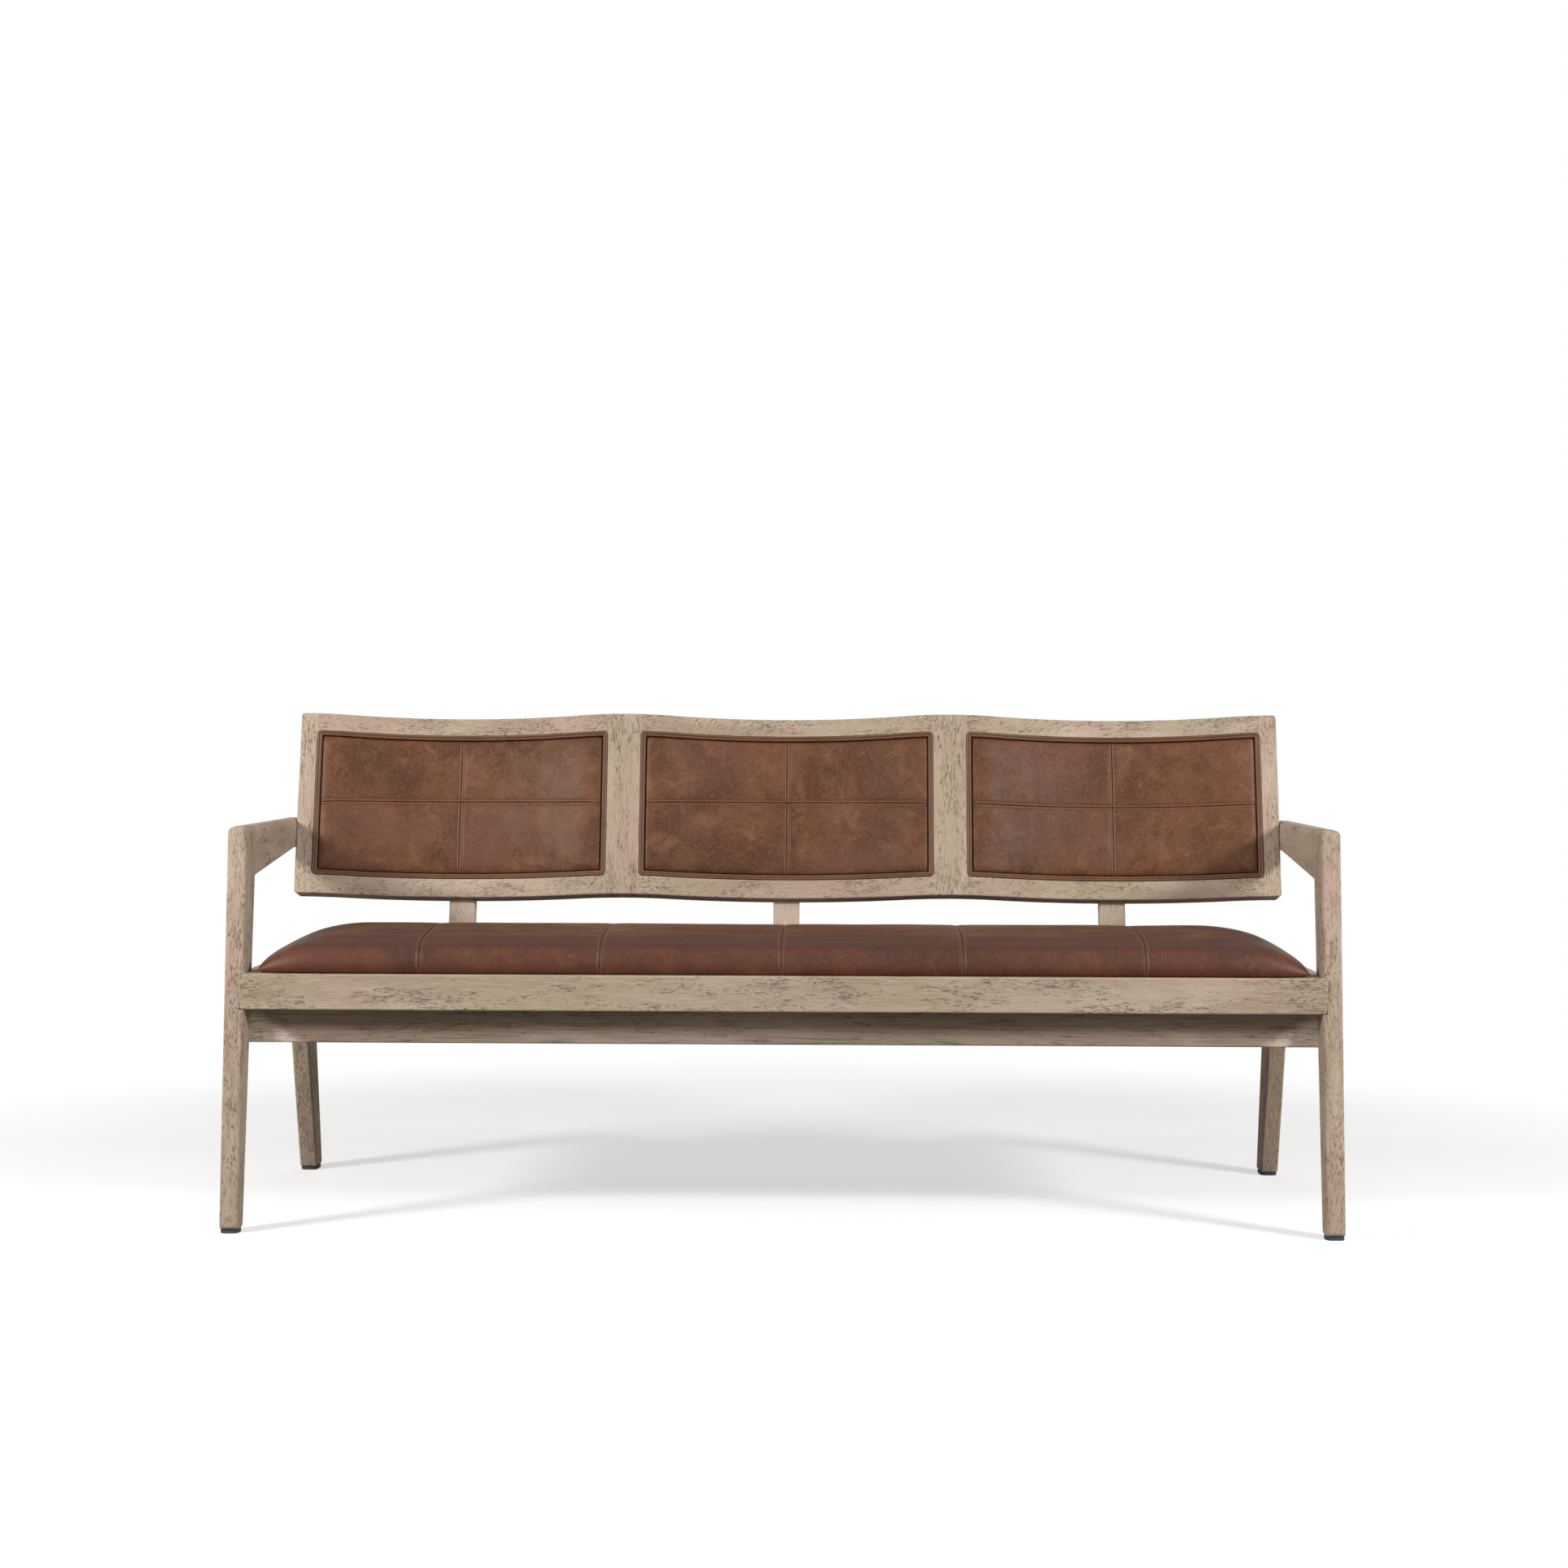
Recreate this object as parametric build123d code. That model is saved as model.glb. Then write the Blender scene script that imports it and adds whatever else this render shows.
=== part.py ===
from build123d import *
import math
import os

# A long upholstered bench: two raked plank side frames, a seat frame between them,
# and a tilted back of three hollowed wooden frames that hold leather panels.
# Lengths are millimetres. Until the last step Y is the distance back from the front feet.

# Overall sizes
overall_width = 1800.0
overall_depth = 663.0

# Shared fits
cut_overrun = 20.0
soft_gap = 0.3
peg_gap = 0.1

# Side frames: front leg and armrest
plank_thickness = 32.0
plank_edge_radius = 5.0
foot_corner_radius = 7.0
front_foot_depth = 33.0
elbow_depth = 119.2
elbow_radius = 3.0
arm_front_setback = 61.0
arm_front_height = 651.0
arm_front_thickness = 83.0
arm_rise = 4.0
arm_rear_thickness = 52.0
arm_rear_depth = 494.0
arm_level_depth = 427.0
arm_top_edge_radius = 12.0
arm_front_corner_radius = 12.0
arm_rear_corner_radius = 14.0
arm_tail_corner_radius = 8.0

# Rear legs
rear_foot_depth = 46.5
rear_leg_top_setback = 487.0
rear_leg_top_depth = 92.0

# Glides under the feet
glide_height = 5.0
glide_margin = 1.0
glide_corner_radius = 10.0

# Seat frame
seat_rail_top = 414.0
front_rail_height = 58.0
front_rail_setback = 33.5
front_rail_thickness = 38.0
front_rail_housing = 7.5
front_rail_corner_radius = 5.0
front_rail_edge_radius = 3.0
apron_height = 115.0
apron_thickness = 22.0
rail_edge_radius = 3.0
side_rail_height = 80.0
side_rail_thickness = 30.0
side_rail_inset = 17.0
rear_rail_thickness = 27.0
bearer_width = 34.0
bearer_height = 44.0
corner_block_leg = 60.0
corner_block_height = 60.0

# Seat deck and cushion
seat_board_thickness = 10.0
seat_board_front_margin = 14.0
seat_board_rear_margin = 14.0
seat_board_end_margin = 36.0
cushion_front_margin = 5.5
cushion_post_gap = 3.0
cushion_end_gap = 3.0
cushion_crown = 74.0
cushion_edge_height = 5.0
cushion_shoulder = 170.0
cushion_shoulder_power = 0.8
cushion_front_roll = 52.0
cushion_rear_roll = 40.0
cushion_draw = 3.0
cushion_corner_inset = 14.0
cushion_crest_share = 0.36
channel_depth = 3.0
channel_half_width = 7.0
channel_puff = 1.5
channel_spacing_share = 0.3447
channel_count = 5

# Back frames
back_tilt = 12.5
back_bottom_setback = 410.0
back_bottom_height = 524.0
back_frame_height = 326.0
back_frame_thickness = 45.0
back_hollow = 47.0
back_crest_radius = 250.0
back_frame_count = 3
stile_width = 28.9
back_top_rail_height = 31.0
back_bottom_rail_height = 33.0
window_corner_radius = 9.0
back_corner_radius = 6.0
back_edge_radius = 3.0
back_joint_radius = 0.8

# Panels in the back frames, as distances behind the front of the wood
panel_board_setback = 21.0
panel_board_thickness = 8.0
panel_groove_depth = 6.0
piping_width = 7.0
piping_proud = 1.5
piping_depth = 7.0
pad_edge_setback = 2.5
pad_crown = 8.0
pad_seam_depth = 2.5
pad_seam_half_width = 7.0
pad_edge_swell_share = 0.2
pad_shoulder_share = 0.25
rear_pad_thickness = 11.0

# Posts under the back
post_width = 46.0
post_thickness = 25.0
post_setback = 18.0
post_edge_radius = 3.0

# Dowels and screws
dowel_radius = 4.0
dowel_length = 36.0
short_dowel_length = 26.0
dowel_edge_distance = 16.0
screw_shank_radius = 2.0
screw_head_radius = 4.2
screw_head_height = 2.4
post_screw_length = 45.0
deck_screw_bite = 7.0
deck_screw_margin = 6.0

# Worked out from the sizes above
half_width = overall_width / 2
inner_face = half_width - plank_thickness
arm_rear_height = arm_front_height + arm_rise
elbow_height = arm_front_height - arm_front_thickness
arm_rear_underside = arm_rear_height - arm_rear_thickness
leg_rear_slope = (elbow_depth - front_foot_depth) / (elbow_height - glide_height)
rear_foot_setback = overall_depth - rear_foot_depth
rear_leg_front_slope = (rear_leg_top_setback - rear_foot_setback) / (seat_rail_top - glide_height)
front_rail_bottom = seat_rail_top - front_rail_height
front_rail_rear = front_rail_setback + front_rail_thickness
apron_rear = front_rail_rear + apron_thickness
side_rail_outer = half_width - side_rail_inset
side_rail_inner = side_rail_outer - side_rail_thickness
side_rail_bottom = seat_rail_top - side_rail_height
back_width = 2 * inner_face
frame_width = back_width / back_frame_count
half_frame = frame_width / 2
tilt_sine = math.sin(math.radians(back_tilt))
tilt_cosine = math.cos(math.radians(back_tilt))
wave_angle = 2 * math.atan(back_hollow / half_frame)
wave_reach = half_frame / math.sin(wave_angle)
hollow_radius = wave_reach - back_crest_radius
board_rear_setback = panel_board_setback + panel_board_thickness
post_front = back_hollow + post_setback
post_rear = post_front + post_thickness
frame_centres = [frame_width * (index - (back_frame_count - 1) / 2) for index in range(back_frame_count)]
frame_names = ["left", "middle", "right"]


def leg_rear_face(height):
    """Y of the front leg's rear face at a height."""
    return front_foot_depth + (height - glide_height) * leg_rear_slope


def rear_leg_front_face(height):
    """Y of the rear leg's front face at a height."""
    return rear_foot_setback + (height - glide_height) * rear_leg_front_slope


def back_plane_depth(setback, height):
    """Y of the tilted plane that lies a given setback behind the back's front, at a height."""
    along = (height - back_bottom_height + setback * tilt_sine) / tilt_cosine
    return back_bottom_setback + setback * tilt_cosine + along * tilt_sine


def back_point(across, setback, along):
    """A point given across, behind and up the tilted back, in the bench's own frame."""
    depth = back_bottom_setback + setback * tilt_cosine + along * tilt_sine
    height = back_bottom_height - setback * tilt_sine + along * tilt_cosine
    return Vector(across, depth, height)


def back_place(centre):
    """The place of a back frame: x across, y behind its front, z up the tilt."""
    return Pos(centre, back_bottom_setback, back_bottom_height) * Rot(X=-back_tilt)


def wave(across):
    """How far the hollowed front lies behind the crests, across one frame."""
    distance = half_frame - abs(across)
    if distance < back_crest_radius * math.sin(wave_angle):
        return back_crest_radius - math.sqrt(back_crest_radius**2 - distance**2)
    return back_hollow - hollow_radius + math.sqrt(hollow_radius**2 - across**2)


post_front_at_seat = back_plane_depth(post_front, seat_rail_top)
post_rear_at_seat = back_plane_depth(post_rear, seat_rail_top)
rear_rail_rear = post_rear_at_seat + rear_rail_thickness
cushion_front = front_rail_setback + cushion_front_margin
cushion_rear = post_front_at_seat - cushion_post_gap
cushion_base = seat_rail_top + soft_gap
cushion_end = side_rail_inner - cushion_end_gap
channel_spacing = channel_spacing_share * cushion_end
board_front = cushion_front + seat_board_front_margin
board_rear = cushion_rear - seat_board_rear_margin
board_end = cushion_end - seat_board_end_margin
board_top = seat_rail_top + seat_board_thickness


def block(low, high):
    """A box between two corners."""
    size = [top - bottom for bottom, top in zip(low, high)]
    return Pos(*low) * Box(*size, align=(Align.MIN, Align.MIN, Align.MIN))


def side_prism(points, radii, low, thickness):
    """An outline of Y and Z points, with its corner radii, extruded along X."""
    outline = FilletPolyline(*points, radius=radii, close=True)
    face = Plane.YZ.offset(low) * make_face(outline)
    return extrude(face, amount=thickness, dir=(1, 0, 0))


def soften_sides(plank, radius):
    """The plank with every edge of its two broad faces rounded."""
    return fillet(plank.faces().filter_by(Axis.X).edges(), radius)


def mirrored(shape):
    """The same piece on the other end of the bench."""
    return mirror(shape, about=Plane.YZ)


def arm_cap():
    """The bullnosed bar along the arm's top that trims the plank's upper edges."""
    rise = math.atan2(arm_rise, arm_rear_depth - arm_front_setback)
    plane = Plane(
        origin=(0, arm_front_setback, arm_front_height),
        x_dir=(1, 0, 0),
        z_dir=(0, -math.cos(rise), -math.sin(rise)),
    )
    deep = arm_front_height + arm_rear_height
    points = [(inner_face, -deep), (half_width, -deep), (half_width, 0), (inner_face, 0)]
    radii = [0, 0, arm_top_edge_radius, arm_top_edge_radius]
    face = plane * make_face(FilletPolyline(*points, radius=radii, close=True))
    return extrude(face, amount=overall_depth, both=True)


def side_plank():
    """The right front leg and armrest as one rounded plank, before it is parted."""
    points = [
        (0, glide_height),
        (front_foot_depth, glide_height),
        (elbow_depth, elbow_height),
        (arm_level_depth, arm_rear_underside),
        (arm_rear_depth, arm_rear_underside),
        (arm_rear_depth, arm_rear_height),
        (arm_front_setback, arm_front_height),
    ]
    radii = [
        foot_corner_radius,
        foot_corner_radius,
        elbow_radius,
        0,
        arm_tail_corner_radius,
        arm_rear_corner_radius,
        arm_front_corner_radius,
    ]
    plank = side_prism(points, radii, inner_face, plank_thickness)
    return soften_sides(plank, plank_edge_radius) & arm_cap()


def arm_region():
    """The space behind the joint between leg and arm, which leans with the leg's rear face."""
    low = min(elbow_height, arm_rear_underside)
    top = max(arm_front_height, arm_rear_height) + cut_overrun
    far = arm_rear_depth + cut_overrun
    points = [
        (leg_rear_face(low), low),
        (far, low),
        (far, top),
        (leg_rear_face(top), top),
    ]
    return side_prism(points, [0] * len(points), inner_face - cut_overrun, plank_thickness + 2 * cut_overrun)


def front_rail_housing_block():
    """The space in the leg's front inner corner that takes the end of the front rail."""
    low = (inner_face - cut_overrun, -cut_overrun, front_rail_bottom)
    high = (inner_face + front_rail_housing, front_rail_rear, seat_rail_top)
    return block(low, high)


def rear_leg():
    """The right rear leg, raked back and widening up to the seat frame."""
    points = [
        (rear_foot_setback, glide_height),
        (overall_depth, glide_height),
        (rear_leg_top_setback + rear_leg_top_depth, seat_rail_top),
        (rear_leg_top_setback, seat_rail_top),
    ]
    radii = [foot_corner_radius] * len(points)
    return soften_sides(side_prism(points, radii, inner_face, plank_thickness), plank_edge_radius)


def foot_glide(front, depth):
    """The pad under one right foot."""
    width = plank_thickness - 2 * glide_margin
    length = depth - 2 * glide_margin
    centre = (inner_face + plank_thickness / 2, front + depth / 2)
    pad = extrude(RectangleRounded(width, length, glide_corner_radius), amount=glide_height)
    return Pos(*centre) * pad


def front_seat_rail():
    """The broad front rail, with rounded corners, let into both front legs."""
    end = inner_face + front_rail_housing
    points = [
        (-end, front_rail_bottom),
        (end, front_rail_bottom),
        (end, seat_rail_top),
        (-end, seat_rail_top),
    ]
    outline = FilletPolyline(*points, radius=front_rail_corner_radius, close=True)
    face = Plane.XZ.offset(-front_rail_setback) * make_face(outline)
    rail = extrude(face, amount=front_rail_thickness, dir=(0, 1, 0))
    front = rail.faces().sort_by(Axis.Y)[0]
    return fillet(front.edges(), front_rail_edge_radius)


def front_apron():
    """The deep board behind the front rail, between the legs."""
    low = (-inner_face, front_rail_rear, seat_rail_top - apron_height)
    apron = block(low, (inner_face, apron_rear, seat_rail_top))
    bottom = apron.edges().filter_by(Axis.X).group_by(Axis.Z)[0]
    return fillet(bottom, rail_edge_radius)


def side_seat_rail():
    """The right side rail, from the front leg's rear face to the rear leg's front face."""
    points = [
        (leg_rear_face(side_rail_bottom), side_rail_bottom),
        (rear_leg_front_face(side_rail_bottom), side_rail_bottom),
        (rear_leg_front_face(seat_rail_top), seat_rail_top),
        (leg_rear_face(seat_rail_top), seat_rail_top),
    ]
    rail = side_prism(points, [0] * len(points), side_rail_inner, side_rail_thickness)
    top = rail.edges().filter_by(Axis.Y).group_by(Axis.Z)[-1]
    rail = fillet(top, rail_edge_radius)
    low = (side_rail_inner - cut_overrun, 0, side_rail_bottom - cut_overrun)
    return rail - block(low, (inner_face, apron_rear, seat_rail_top + cut_overrun))


def rear_seat_rail():
    """The rear rail behind the posts, between the side rails."""
    low = (-side_rail_inner, post_rear_at_seat, side_rail_bottom)
    rail = block(low, (side_rail_inner, rear_rail_rear, seat_rail_top))
    rear_edges = rail.edges().filter_by(Axis.X).group_by(Axis.Y)[-1]
    return fillet(rear_edges, rail_edge_radius)


def seat_bearer(centre):
    """A bearer from the apron to the rear rail, under the seat board."""
    low = (centre - bearer_width / 2, apron_rear, seat_rail_top - bearer_height)
    return block(low, (centre + bearer_width / 2, post_rear_at_seat, seat_rail_top))


def corner_block(corner_depth, direction):
    """A right corner block; direction is 1 behind the apron and -1 before the rear rail."""
    points = [
        (side_rail_inner, corner_depth),
        (side_rail_inner - corner_block_leg, corner_depth),
        (side_rail_inner, corner_depth + direction * corner_block_leg),
    ]
    face = make_face(Polyline(*points, close=True))
    low = seat_rail_top - corner_block_height
    return Pos(0, 0, low) * extrude(face, amount=corner_block_height, dir=(0, 0, 1))


def seat_board():
    """The plywood deck under the cushion."""
    return block((-board_end, board_front, seat_rail_top), (board_end, board_rear, board_top))


def channel_dip(across):
    """How far the seat's top is drawn down by the nearest sewn channel."""
    seams = [channel_spacing * (index - (channel_count - 1) / 2) for index in range(channel_count)]
    distance = min(abs(across - seam) for seam in seams)
    if distance < channel_half_width:
        return channel_depth * (1 - distance / channel_half_width)
    return -channel_puff * math.sin(math.pi * min(1, distance / channel_spacing))


def cushion_height(across):
    """The seat cushion's height over its base, along the bench."""
    travel = min(1, (cushion_end - abs(across)) / cushion_shoulder)
    rise = (1 - (1 - travel) ** 2) ** cushion_shoulder_power
    return cushion_edge_height + (cushion_crown - cushion_edge_height - channel_dip(across)) * rise


def cushion_section(across):
    """One cross section of the seat cushion: base, front roll, crown and rear roll."""
    height = cushion_height(across)
    travel = min(1, (cushion_end - abs(across)) / cushion_shoulder)
    inset = cushion_corner_inset * (1 - travel) ** 4 + max(0, channel_dip(across)) / 2
    front = cushion_front + inset
    rear = cushion_rear - inset
    crest = front + cushion_crest_share * (rear - front)
    mid_roll_share = 0.13
    mid_height_share = 0.46
    shoulder_share = 0.87
    tail_share = 0.78
    start = (front + cushion_draw, cushion_base)
    front_mid = (front + mid_roll_share * cushion_front_roll, cushion_base + mid_height_share * height)
    front_top = (front + cushion_front_roll, cushion_base + shoulder_share * height)
    crown = (crest, cushion_base + height)
    rear_top = (rear - cushion_rear_roll, cushion_base + tail_share * height)
    rear_mid = (rear - mid_roll_share * cushion_rear_roll, cushion_base + mid_height_share * height)
    end = (rear - cushion_draw, cushion_base)
    edges = [
        ThreePointArc(start, front_mid, front_top),
        ThreePointArc(front_top, crown, rear_top),
        ThreePointArc(rear_top, rear_mid, end),
        Line(end, start),
    ]
    return Plane.YZ.offset(across) * make_face(edges)


def cushion_stations():
    """Where the seat cushion's cross sections stand, from the middle to the right end."""
    inner_shares = [0.12, 0.3, 0.5, 0.7, 0.88]
    shoulder_shares = [0.0, 0.03, 0.08, 0.16, 0.28, 0.42, 0.6, 0.8]
    stations = [0]
    for index in range(1, (channel_count + 1) // 2):
        low = channel_spacing * (index - 1) + channel_half_width
        high = channel_spacing * index - channel_half_width
        stations += [low] + [low + share * (high - low) for share in inner_shares] + [high]
        stations.append(channel_spacing * index)
    last_seam = channel_spacing * (channel_count // 2)
    shoulder_start = cushion_end - cushion_shoulder
    stations += [last_seam + channel_half_width, (last_seam + shoulder_start) / 2, shoulder_start]
    stations += [cushion_end - share * cushion_shoulder for share in reversed(shoulder_shares)]
    return stations


def seat_cushion():
    """The seat's leather-covered cushion, with its crown, its shoulders and its sewn channels."""
    right = cushion_stations()
    stations = [-across for across in reversed(right[1:])] + right
    cushion = loft([cushion_section(across) for across in stations], ruled=True)
    low = (-board_end - soft_gap, board_front - soft_gap, seat_rail_top - cut_overrun)
    high = (board_end + soft_gap, board_rear + soft_gap, board_top + soft_gap)
    return cushion - block(low, high)


def wave_edge(setback, low, high, height):
    """The wavy line across a frame at one setback, from low to high, at a height up the tilt."""
    crest_end = half_frame - back_crest_radius * math.sin(wave_angle)
    marks = [low, -crest_end, crest_end, high]
    edges = []
    for start, end in zip(marks, marks[1:]):
        middle = (start + end) / 2
        points = [(place, setback + wave(place), height) for place in (start, middle, end)]
        edges.append(ThreePointArc(*points))
    return edges


def wave_slab(front, rear):
    """A full-size slab between two setbacks behind the wavy front, over a whole frame."""
    ends = [
        Line((half_frame, front, 0), (half_frame, rear, 0)),
        Line((-half_frame, rear, 0), (-half_frame, front, 0)),
    ]
    edges = wave_edge(front, -half_frame, half_frame, 0) + wave_edge(rear, -half_frame, half_frame, 0)
    face = make_face(edges + ends)
    return extrude(face, amount=back_frame_height, dir=(0, 0, 1))


def frame_prism(points, radii):
    """An outline across and up the back, extruded through its whole thickness."""
    face = Plane.XZ * make_face(FilletPolyline(*points, radius=radii, close=True))
    return extrude(face, amount=overall_depth, both=True)


def window_prism(inset, radius):
    """The rounded window of a frame, made smaller all round by an inset."""
    side = half_frame - stile_width - inset
    low = back_bottom_rail_height + inset
    high = back_frame_height - back_top_rail_height - inset
    points = [(-side, low), (side, low), (side, high), (-side, high)]
    return frame_prism(points, [radius] * len(points))


def outer_frame(index):
    """One back frame in one piece, with its window and groove, before it is parted."""
    left = back_corner_radius if index == 0 else 0
    right = back_corner_radius if index == back_frame_count - 1 else 0
    points = [
        (-half_frame, 0),
        (half_frame, 0),
        (half_frame, back_frame_height),
        (-half_frame, back_frame_height),
    ]
    slab = wave_slab(0, back_frame_thickness)
    if left or right:
        slab = slab & frame_prism(points, [left, right, right, left])
    long_edges = slab.edges().filter_by(Axis.Z, reverse=True).filter_by(Axis.Y, reverse=True)
    level_edges = [edge for edge in long_edges if edge.bounding_box().size.X > back_corner_radius * 2]
    slab = fillet(level_edges, back_edge_radius)
    upright = slab.edges().filter_by(Axis.Z).filter_by(GeomType.LINE)
    joint_edges = []
    if not left:
        joint_edges += [edge for edge in upright if edge.center().X < -half_frame + back_joint_radius]
    if not right:
        joint_edges += [edge for edge in upright if edge.center().X > half_frame - back_joint_radius]
    slab = fillet(joint_edges, back_joint_radius)
    window = window_prism(0, window_corner_radius)
    groove_front = panel_board_setback - soft_gap
    groove_rear = board_rear_setback + soft_gap
    groove = wave_slab(groove_front, groove_rear)
    groove = groove & window_prism(-panel_groove_depth - soft_gap, window_corner_radius)
    return slab - window - groove


def frame_pieces(index):
    """The two stiles and two rails that a back frame is made of."""
    frame = outer_frame(index)
    split = half_frame - stile_width
    deep = back_frame_thickness + back_hollow + cut_overrun
    half_height = back_frame_height / 2
    top = back_frame_height + cut_overrun
    far = half_frame + cut_overrun
    left_space = block((-far, -cut_overrun, -cut_overrun), (-split, deep, top))
    right_space = block((split, -cut_overrun, -cut_overrun), (far, deep, top))
    top_space = block((-split, -cut_overrun, half_height), (split, deep, top))
    bottom_space = block((-split, -cut_overrun, -cut_overrun), (split, deep, half_height))
    return {
        "left_stile": frame & left_space,
        "right_stile": frame & right_space,
        "top_rail": frame & top_space,
        "bottom_rail": frame & bottom_space,
    }


def panel_board():
    """The bent plywood board that floats in a frame's grooves."""
    board = wave_slab(panel_board_setback, board_rear_setback)
    return board & window_prism(-panel_groove_depth, window_corner_radius)


def panel_piping():
    """The piping round the edge of a leather panel, as a plain ring."""
    outer = window_prism(soft_gap, window_corner_radius)
    inner = window_prism(piping_width, window_corner_radius / 2)
    return wave_slab(-piping_proud, piping_depth - piping_proud) & outer - inner


def pad_section(across, half_pad, low, high):
    """One upright cross section of a leather pad, with its crown and its level seam."""
    travel = 1 - abs(across) / half_pad
    swell_share = max(pad_edge_swell_share, min(1, travel / pad_shoulder_share) ** 0.5)
    dip = pad_seam_depth * max(0, 1 - abs(across) / pad_seam_half_width)
    edge = wave(across) + pad_edge_setback
    front = edge - (pad_crown - dip) * swell_share
    rear = wave(across) + panel_board_setback - soft_gap
    middle = (low + high) / 2
    seam = front + pad_seam_depth * swell_share
    quarter_share = 0.28
    low_top = (front, low + quarter_share * (high - low))
    high_top = (front, high - quarter_share * (high - low))
    edges = [
        Line((rear, low), (edge, low)),
        ThreePointArc((edge, low), low_top, (seam, middle)),
        ThreePointArc((seam, middle), high_top, (edge, high)),
        Line((edge, high), (rear, high)),
        Line((rear, high), (rear, low)),
    ]
    return Plane.YZ.offset(across) * make_face(edges)


def panel_pad():
    """The front leather pad of a panel, inside its piping."""
    inset = piping_width + soft_gap
    half_pad = half_frame - stile_width - inset
    low = back_bottom_rail_height + inset
    high = back_frame_height - back_top_rail_height - inset
    shares = [1.0, 0.985, 0.96, 0.92, 0.87, 0.81, 0.74, 0.64, 0.5, 0.36, 0.22, 0.1]
    right = [0, pad_seam_half_width] + [half_pad * share for share in reversed(shares)]
    stations = [-across for across in reversed(right[1:])] + right
    pad = loft([pad_section(across, half_pad, low, high) for across in stations], ruled=True)
    return pad & window_prism(inset, window_corner_radius / 2)


def panel_rear_pad():
    """The thin padded cover on the rear of a panel."""
    front = board_rear_setback + soft_gap
    return wave_slab(front, front + rear_pad_thickness) & window_prism(soft_gap, window_corner_radius)


def back_post(centre):
    """A cranked post, from the rear rail's front face up to the underside of a back frame."""
    top_front = back_point(0, post_front, 0)
    top_rear = back_point(0, post_rear, 0)
    points = [
        (top_front.Y, top_front.Z),
        (top_rear.Y, top_rear.Z),
        (post_rear_at_seat, seat_rail_top),
        (post_rear_at_seat, side_rail_bottom),
        (post_front_at_seat, side_rail_bottom),
        (post_front_at_seat, seat_rail_top),
    ]
    post = side_prism(points, [0] * len(points), centre - post_width / 2, post_width)
    return soften_sides(post, post_edge_radius)


def peg(centre, direction, radius, length):
    """A round peg about a centre, along a direction."""
    return Plane(origin=centre, z_dir=direction) * Cylinder(radius, length)


def screw(seat, direction, length):
    """A pan-head screw: its head stands on a surface and its shank runs along the direction."""
    along = Vector(*direction).normalized()
    head = peg(seat - along * (screw_head_height / 2), along, screw_head_radius, screw_head_height)
    shank = peg(seat + along * (length / 2), along, screw_shank_radius, length)
    return head + shank


def screw_hole(seat, direction, length):
    """The hole that a screw's shank needs."""
    along = Vector(*direction).normalized()
    return peg(seat + along * (length / 2), along, screw_shank_radius + peg_gap, length + 2 * peg_gap)


def both_ends(places):
    """Each place again on the other end of the bench."""
    return places + [(Vector(-spot.X, spot.Y, spot.Z), way) for spot, way in places]


def arm_dowel_places():
    """Dowels between front leg and arm, and between arm and back."""
    middle = half_width - plank_thickness / 2
    rise = elbow_height + (arm_front_height - elbow_height) / 3
    rises = [rise, rise + (arm_front_height - elbow_height) / 3]
    places = [(Vector(middle, leg_rear_face(height), height), (0, 1, 0)) for height in rises]
    arm_middle = (arm_rear_underside + arm_rear_height) / 2
    for height in (arm_middle - dowel_edge_distance * 0.75, arm_middle + dowel_edge_distance * 0.75):
        depth = back_plane_depth(back_frame_thickness / 2, height)
        places.append((Vector(inner_face, depth, height), (1, 0, 0)))
    return both_ends(places)


def seat_dowel_places():
    """Dowels at the ends of the front rail, apron, side rails, rear rail and bearers."""
    rail_middle = front_rail_setback + front_rail_thickness * 0.6
    apron_middle = front_rail_rear + dowel_radius * 1.25
    side_rail_middle = seat_rail_top - side_rail_height / 2
    side_middle = (inner_face + side_rail_outer) / 2
    rear_middle = post_rear_at_seat + dowel_radius * 2
    places = []
    for height in (seat_rail_top - dowel_edge_distance, front_rail_bottom + dowel_edge_distance):
        places.append((Vector(inner_face + front_rail_housing, rail_middle, height), (1, 0, 0)))
    for height in (side_rail_middle - dowel_edge_distance * 3, side_rail_middle):
        places.append((Vector(inner_face, apron_middle, height), (1, 0, 0)))
    for height in (side_rail_bottom + dowel_edge_distance, seat_rail_top - dowel_edge_distance):
        places.append((Vector(side_middle, leg_rear_face(height), height), (0, 1, 0)))
        places.append((Vector(side_middle, rear_leg_front_face(height), height), (0, 1, 0)))
        places.append((Vector(side_rail_inner, rear_middle, height), (1, 0, 0)))
    bearer_middle = seat_rail_top - bearer_height / 2
    places.append((Vector(half_frame, apron_rear, bearer_middle), (0, 1, 0)))
    places.append((Vector(half_frame, post_rear_at_seat, bearer_middle), (0, 1, 0)))
    return both_ends(places)


def back_dowel_places():
    """Dowels at the frames' corners, between the frames, and from the posts into the frames."""
    split = half_frame - stile_width
    seat = dowel_edge_distance * 0.75
    corner_depth = wave(split) + back_frame_thickness / 2
    places = []
    for centre in frame_centres:
        for side in (-split, split):
            for along in (seat, back_frame_height - seat):
                places.append((back_point(centre + side, corner_depth, along), (1, 0, 0)))
        top = back_point(centre, (post_front + post_rear) / 2, 0)
        places.append((top, (0, tilt_sine, tilt_cosine)))
    joint_shares = [0.25, 0.75]
    for centre in frame_centres[1:]:
        for share in joint_shares:
            spot = back_point(centre - half_frame, back_frame_thickness / 2, back_frame_height * share)
            places.append((spot, (1, 0, 0)))
    return places


def post_screw_places():
    """Two screws through the foot of each post into the rear rail."""
    heights = [side_rail_bottom + dowel_edge_distance, seat_rail_top - dowel_edge_distance]
    return [
        (Vector(centre, post_front_at_seat, height), (0, 1, 0)) for centre in frame_centres for height in heights
    ]


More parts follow.
